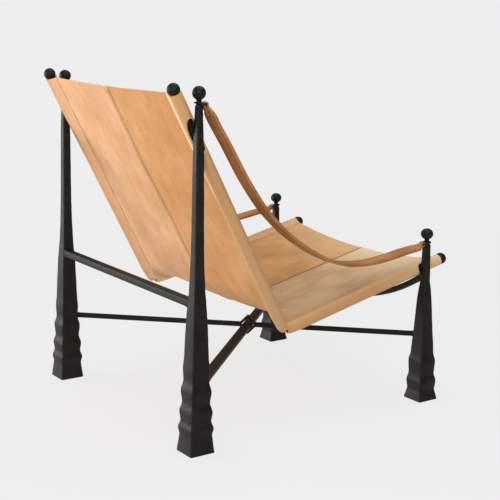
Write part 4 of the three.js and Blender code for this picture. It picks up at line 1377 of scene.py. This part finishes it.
def makeTongue(row, side, hook, way):
    # round the ring's wire and back under the strap, its cut tip showing
    values, wall = tongueValues, strapValues["loopWall"]
    away, under = unit(way), lowerSide(way)
    radius = loopReach()
    points = [hook + away * values["lead"] - under * values["leadLift"]]
    for angle in np.radians(np.linspace(*values["wrap"])):
        points.append(hook + radius * (-under * math.cos(angle) - away * math.sin(angle)))
    points += [hook + away * run + under * mix(radius, wall + wall / 2, share)
               for run, share in values["back"]]
    count = values["points"]
    line, _ = smoothLine(points, count)
    outlines = []
    for index in range(count):
        narrowed = 1 - values["tipPared"] * float(smoothstep(index, count * values["tipFrom"], count))
        outlines.append(strapOutline(strapValues["tongueWidth"] / 2 * narrowed, wall / 2))
    piece = sweepStrip(line, lineNormals(line), middleOf(f"arm_strap_{side}").x, outlines, "tongue")
    finishPiece(piece, f"strap_tongue_{row}_{side}", strapLeather, f"strap_{side}")
    piece.data.materials.append(cutEdge)
    around = len(outlines[0])
    for polygon in piece.data.polygons:
        if min(polygon.vertices) >= (count - values["cutPoints"]) * around:
            polygon.material_index = 1
    return piece


def loopReach():
    # from the middle of the ring's wire to the middle of the leather round it
    radius, half = ringValues["radius"], strapValues["tongueWidth"] / 2
    wireBow = radius - math.sqrt(radius ** 2 - half ** 2)
    return ringValues["wire"] + wireBow / 2 + 2 * slingValues["fitGap"] + strapValues["loopWall"] / 2


def makeStrap(side):
    values = strapValues
    start, end = strapHook("rear", side), strapHook("front", side)
    reach = loopReach()
    leave, arrive = values["leave"], values["arrive"]
    points = [start - (reach * leave[0], reach * leave[1])]
    points += [(mix(start[0], end[0], span), mix(start[1], end[1], drop))
               for span, drop in values["shares"]]
    points += [end + (reach * arrive[0], -reach * arrive[1])]
    count = values["steps"] + 1
    line, length = smoothLine(points, count)
    normals = lineNormals(line)
    x = middleOf(f"arm_strap_{side}").x
    outlines = []
    for index in range(count):
        share = index / (count - 1)
        opened = min(float(smoothstep(share * length, 0, values["taper"][0])),
                     float(smoothstep((1 - share) * length, 0, values["taper"][1])))
        outlines.append(strapOutline(mix(values["tongueWidth"], values["width"], opened) / 2,
                                     mix(2 * values["loopWall"], values["thickness"], opened) / 2))
    piece = sweepStrip(line, normals, x, outlines, "strap")
    finishPiece(piece, f"leather_arm_strap_{side}", strapLeather, f"strap_{side}",
                [f"arm_strap_{side}"])
    tongues = [makeTongue("rear", side, start, line[3] - line[0]),
               makeTongue("front", side, end, line[-4] - line[-1])]
    clear = slice(*(int(share * count) for share in values["sewn"]))
    inset = values["width"] / 2 - values["stitchIn"]
    rows = []
    for u in (-1, 1):
        for way in (-1, 1):
            path = np.array([(x + u * inset, *point) for point in line[clear]])
            up = way * np.array([(0, *normal) for normal in normals[clear]])
            rows.append((path, up, values["thickness"] / 2 + values["stitchLift"]))
    thread = sewRows(rows, f"strap_thread_{side}", brownThread, f"strap_{side}")
    return piece, length, [*tongues, thread]


def lowerSide(direction):
    # square to the direction, on the side that faces the floor
    y, z = unit(direction)
    return np.array((z, -y)) if -y < 0 else np.array((-z, y))


strapTones = leatherValues["strap"]
strapLeather = makeLeather("dark oiled strap leather", strapTones, strapTones, [
    (place, *strapValues["creaseSoil"])
    for place in (strapValues["creaseIn"], strapValues["width"] - strapValues["creaseIn"])])
for side in sideSigns:
    strap, length, extras = makeStrap(side)
    print(f"arm strap {side} hangs, {length:.3f} m long")
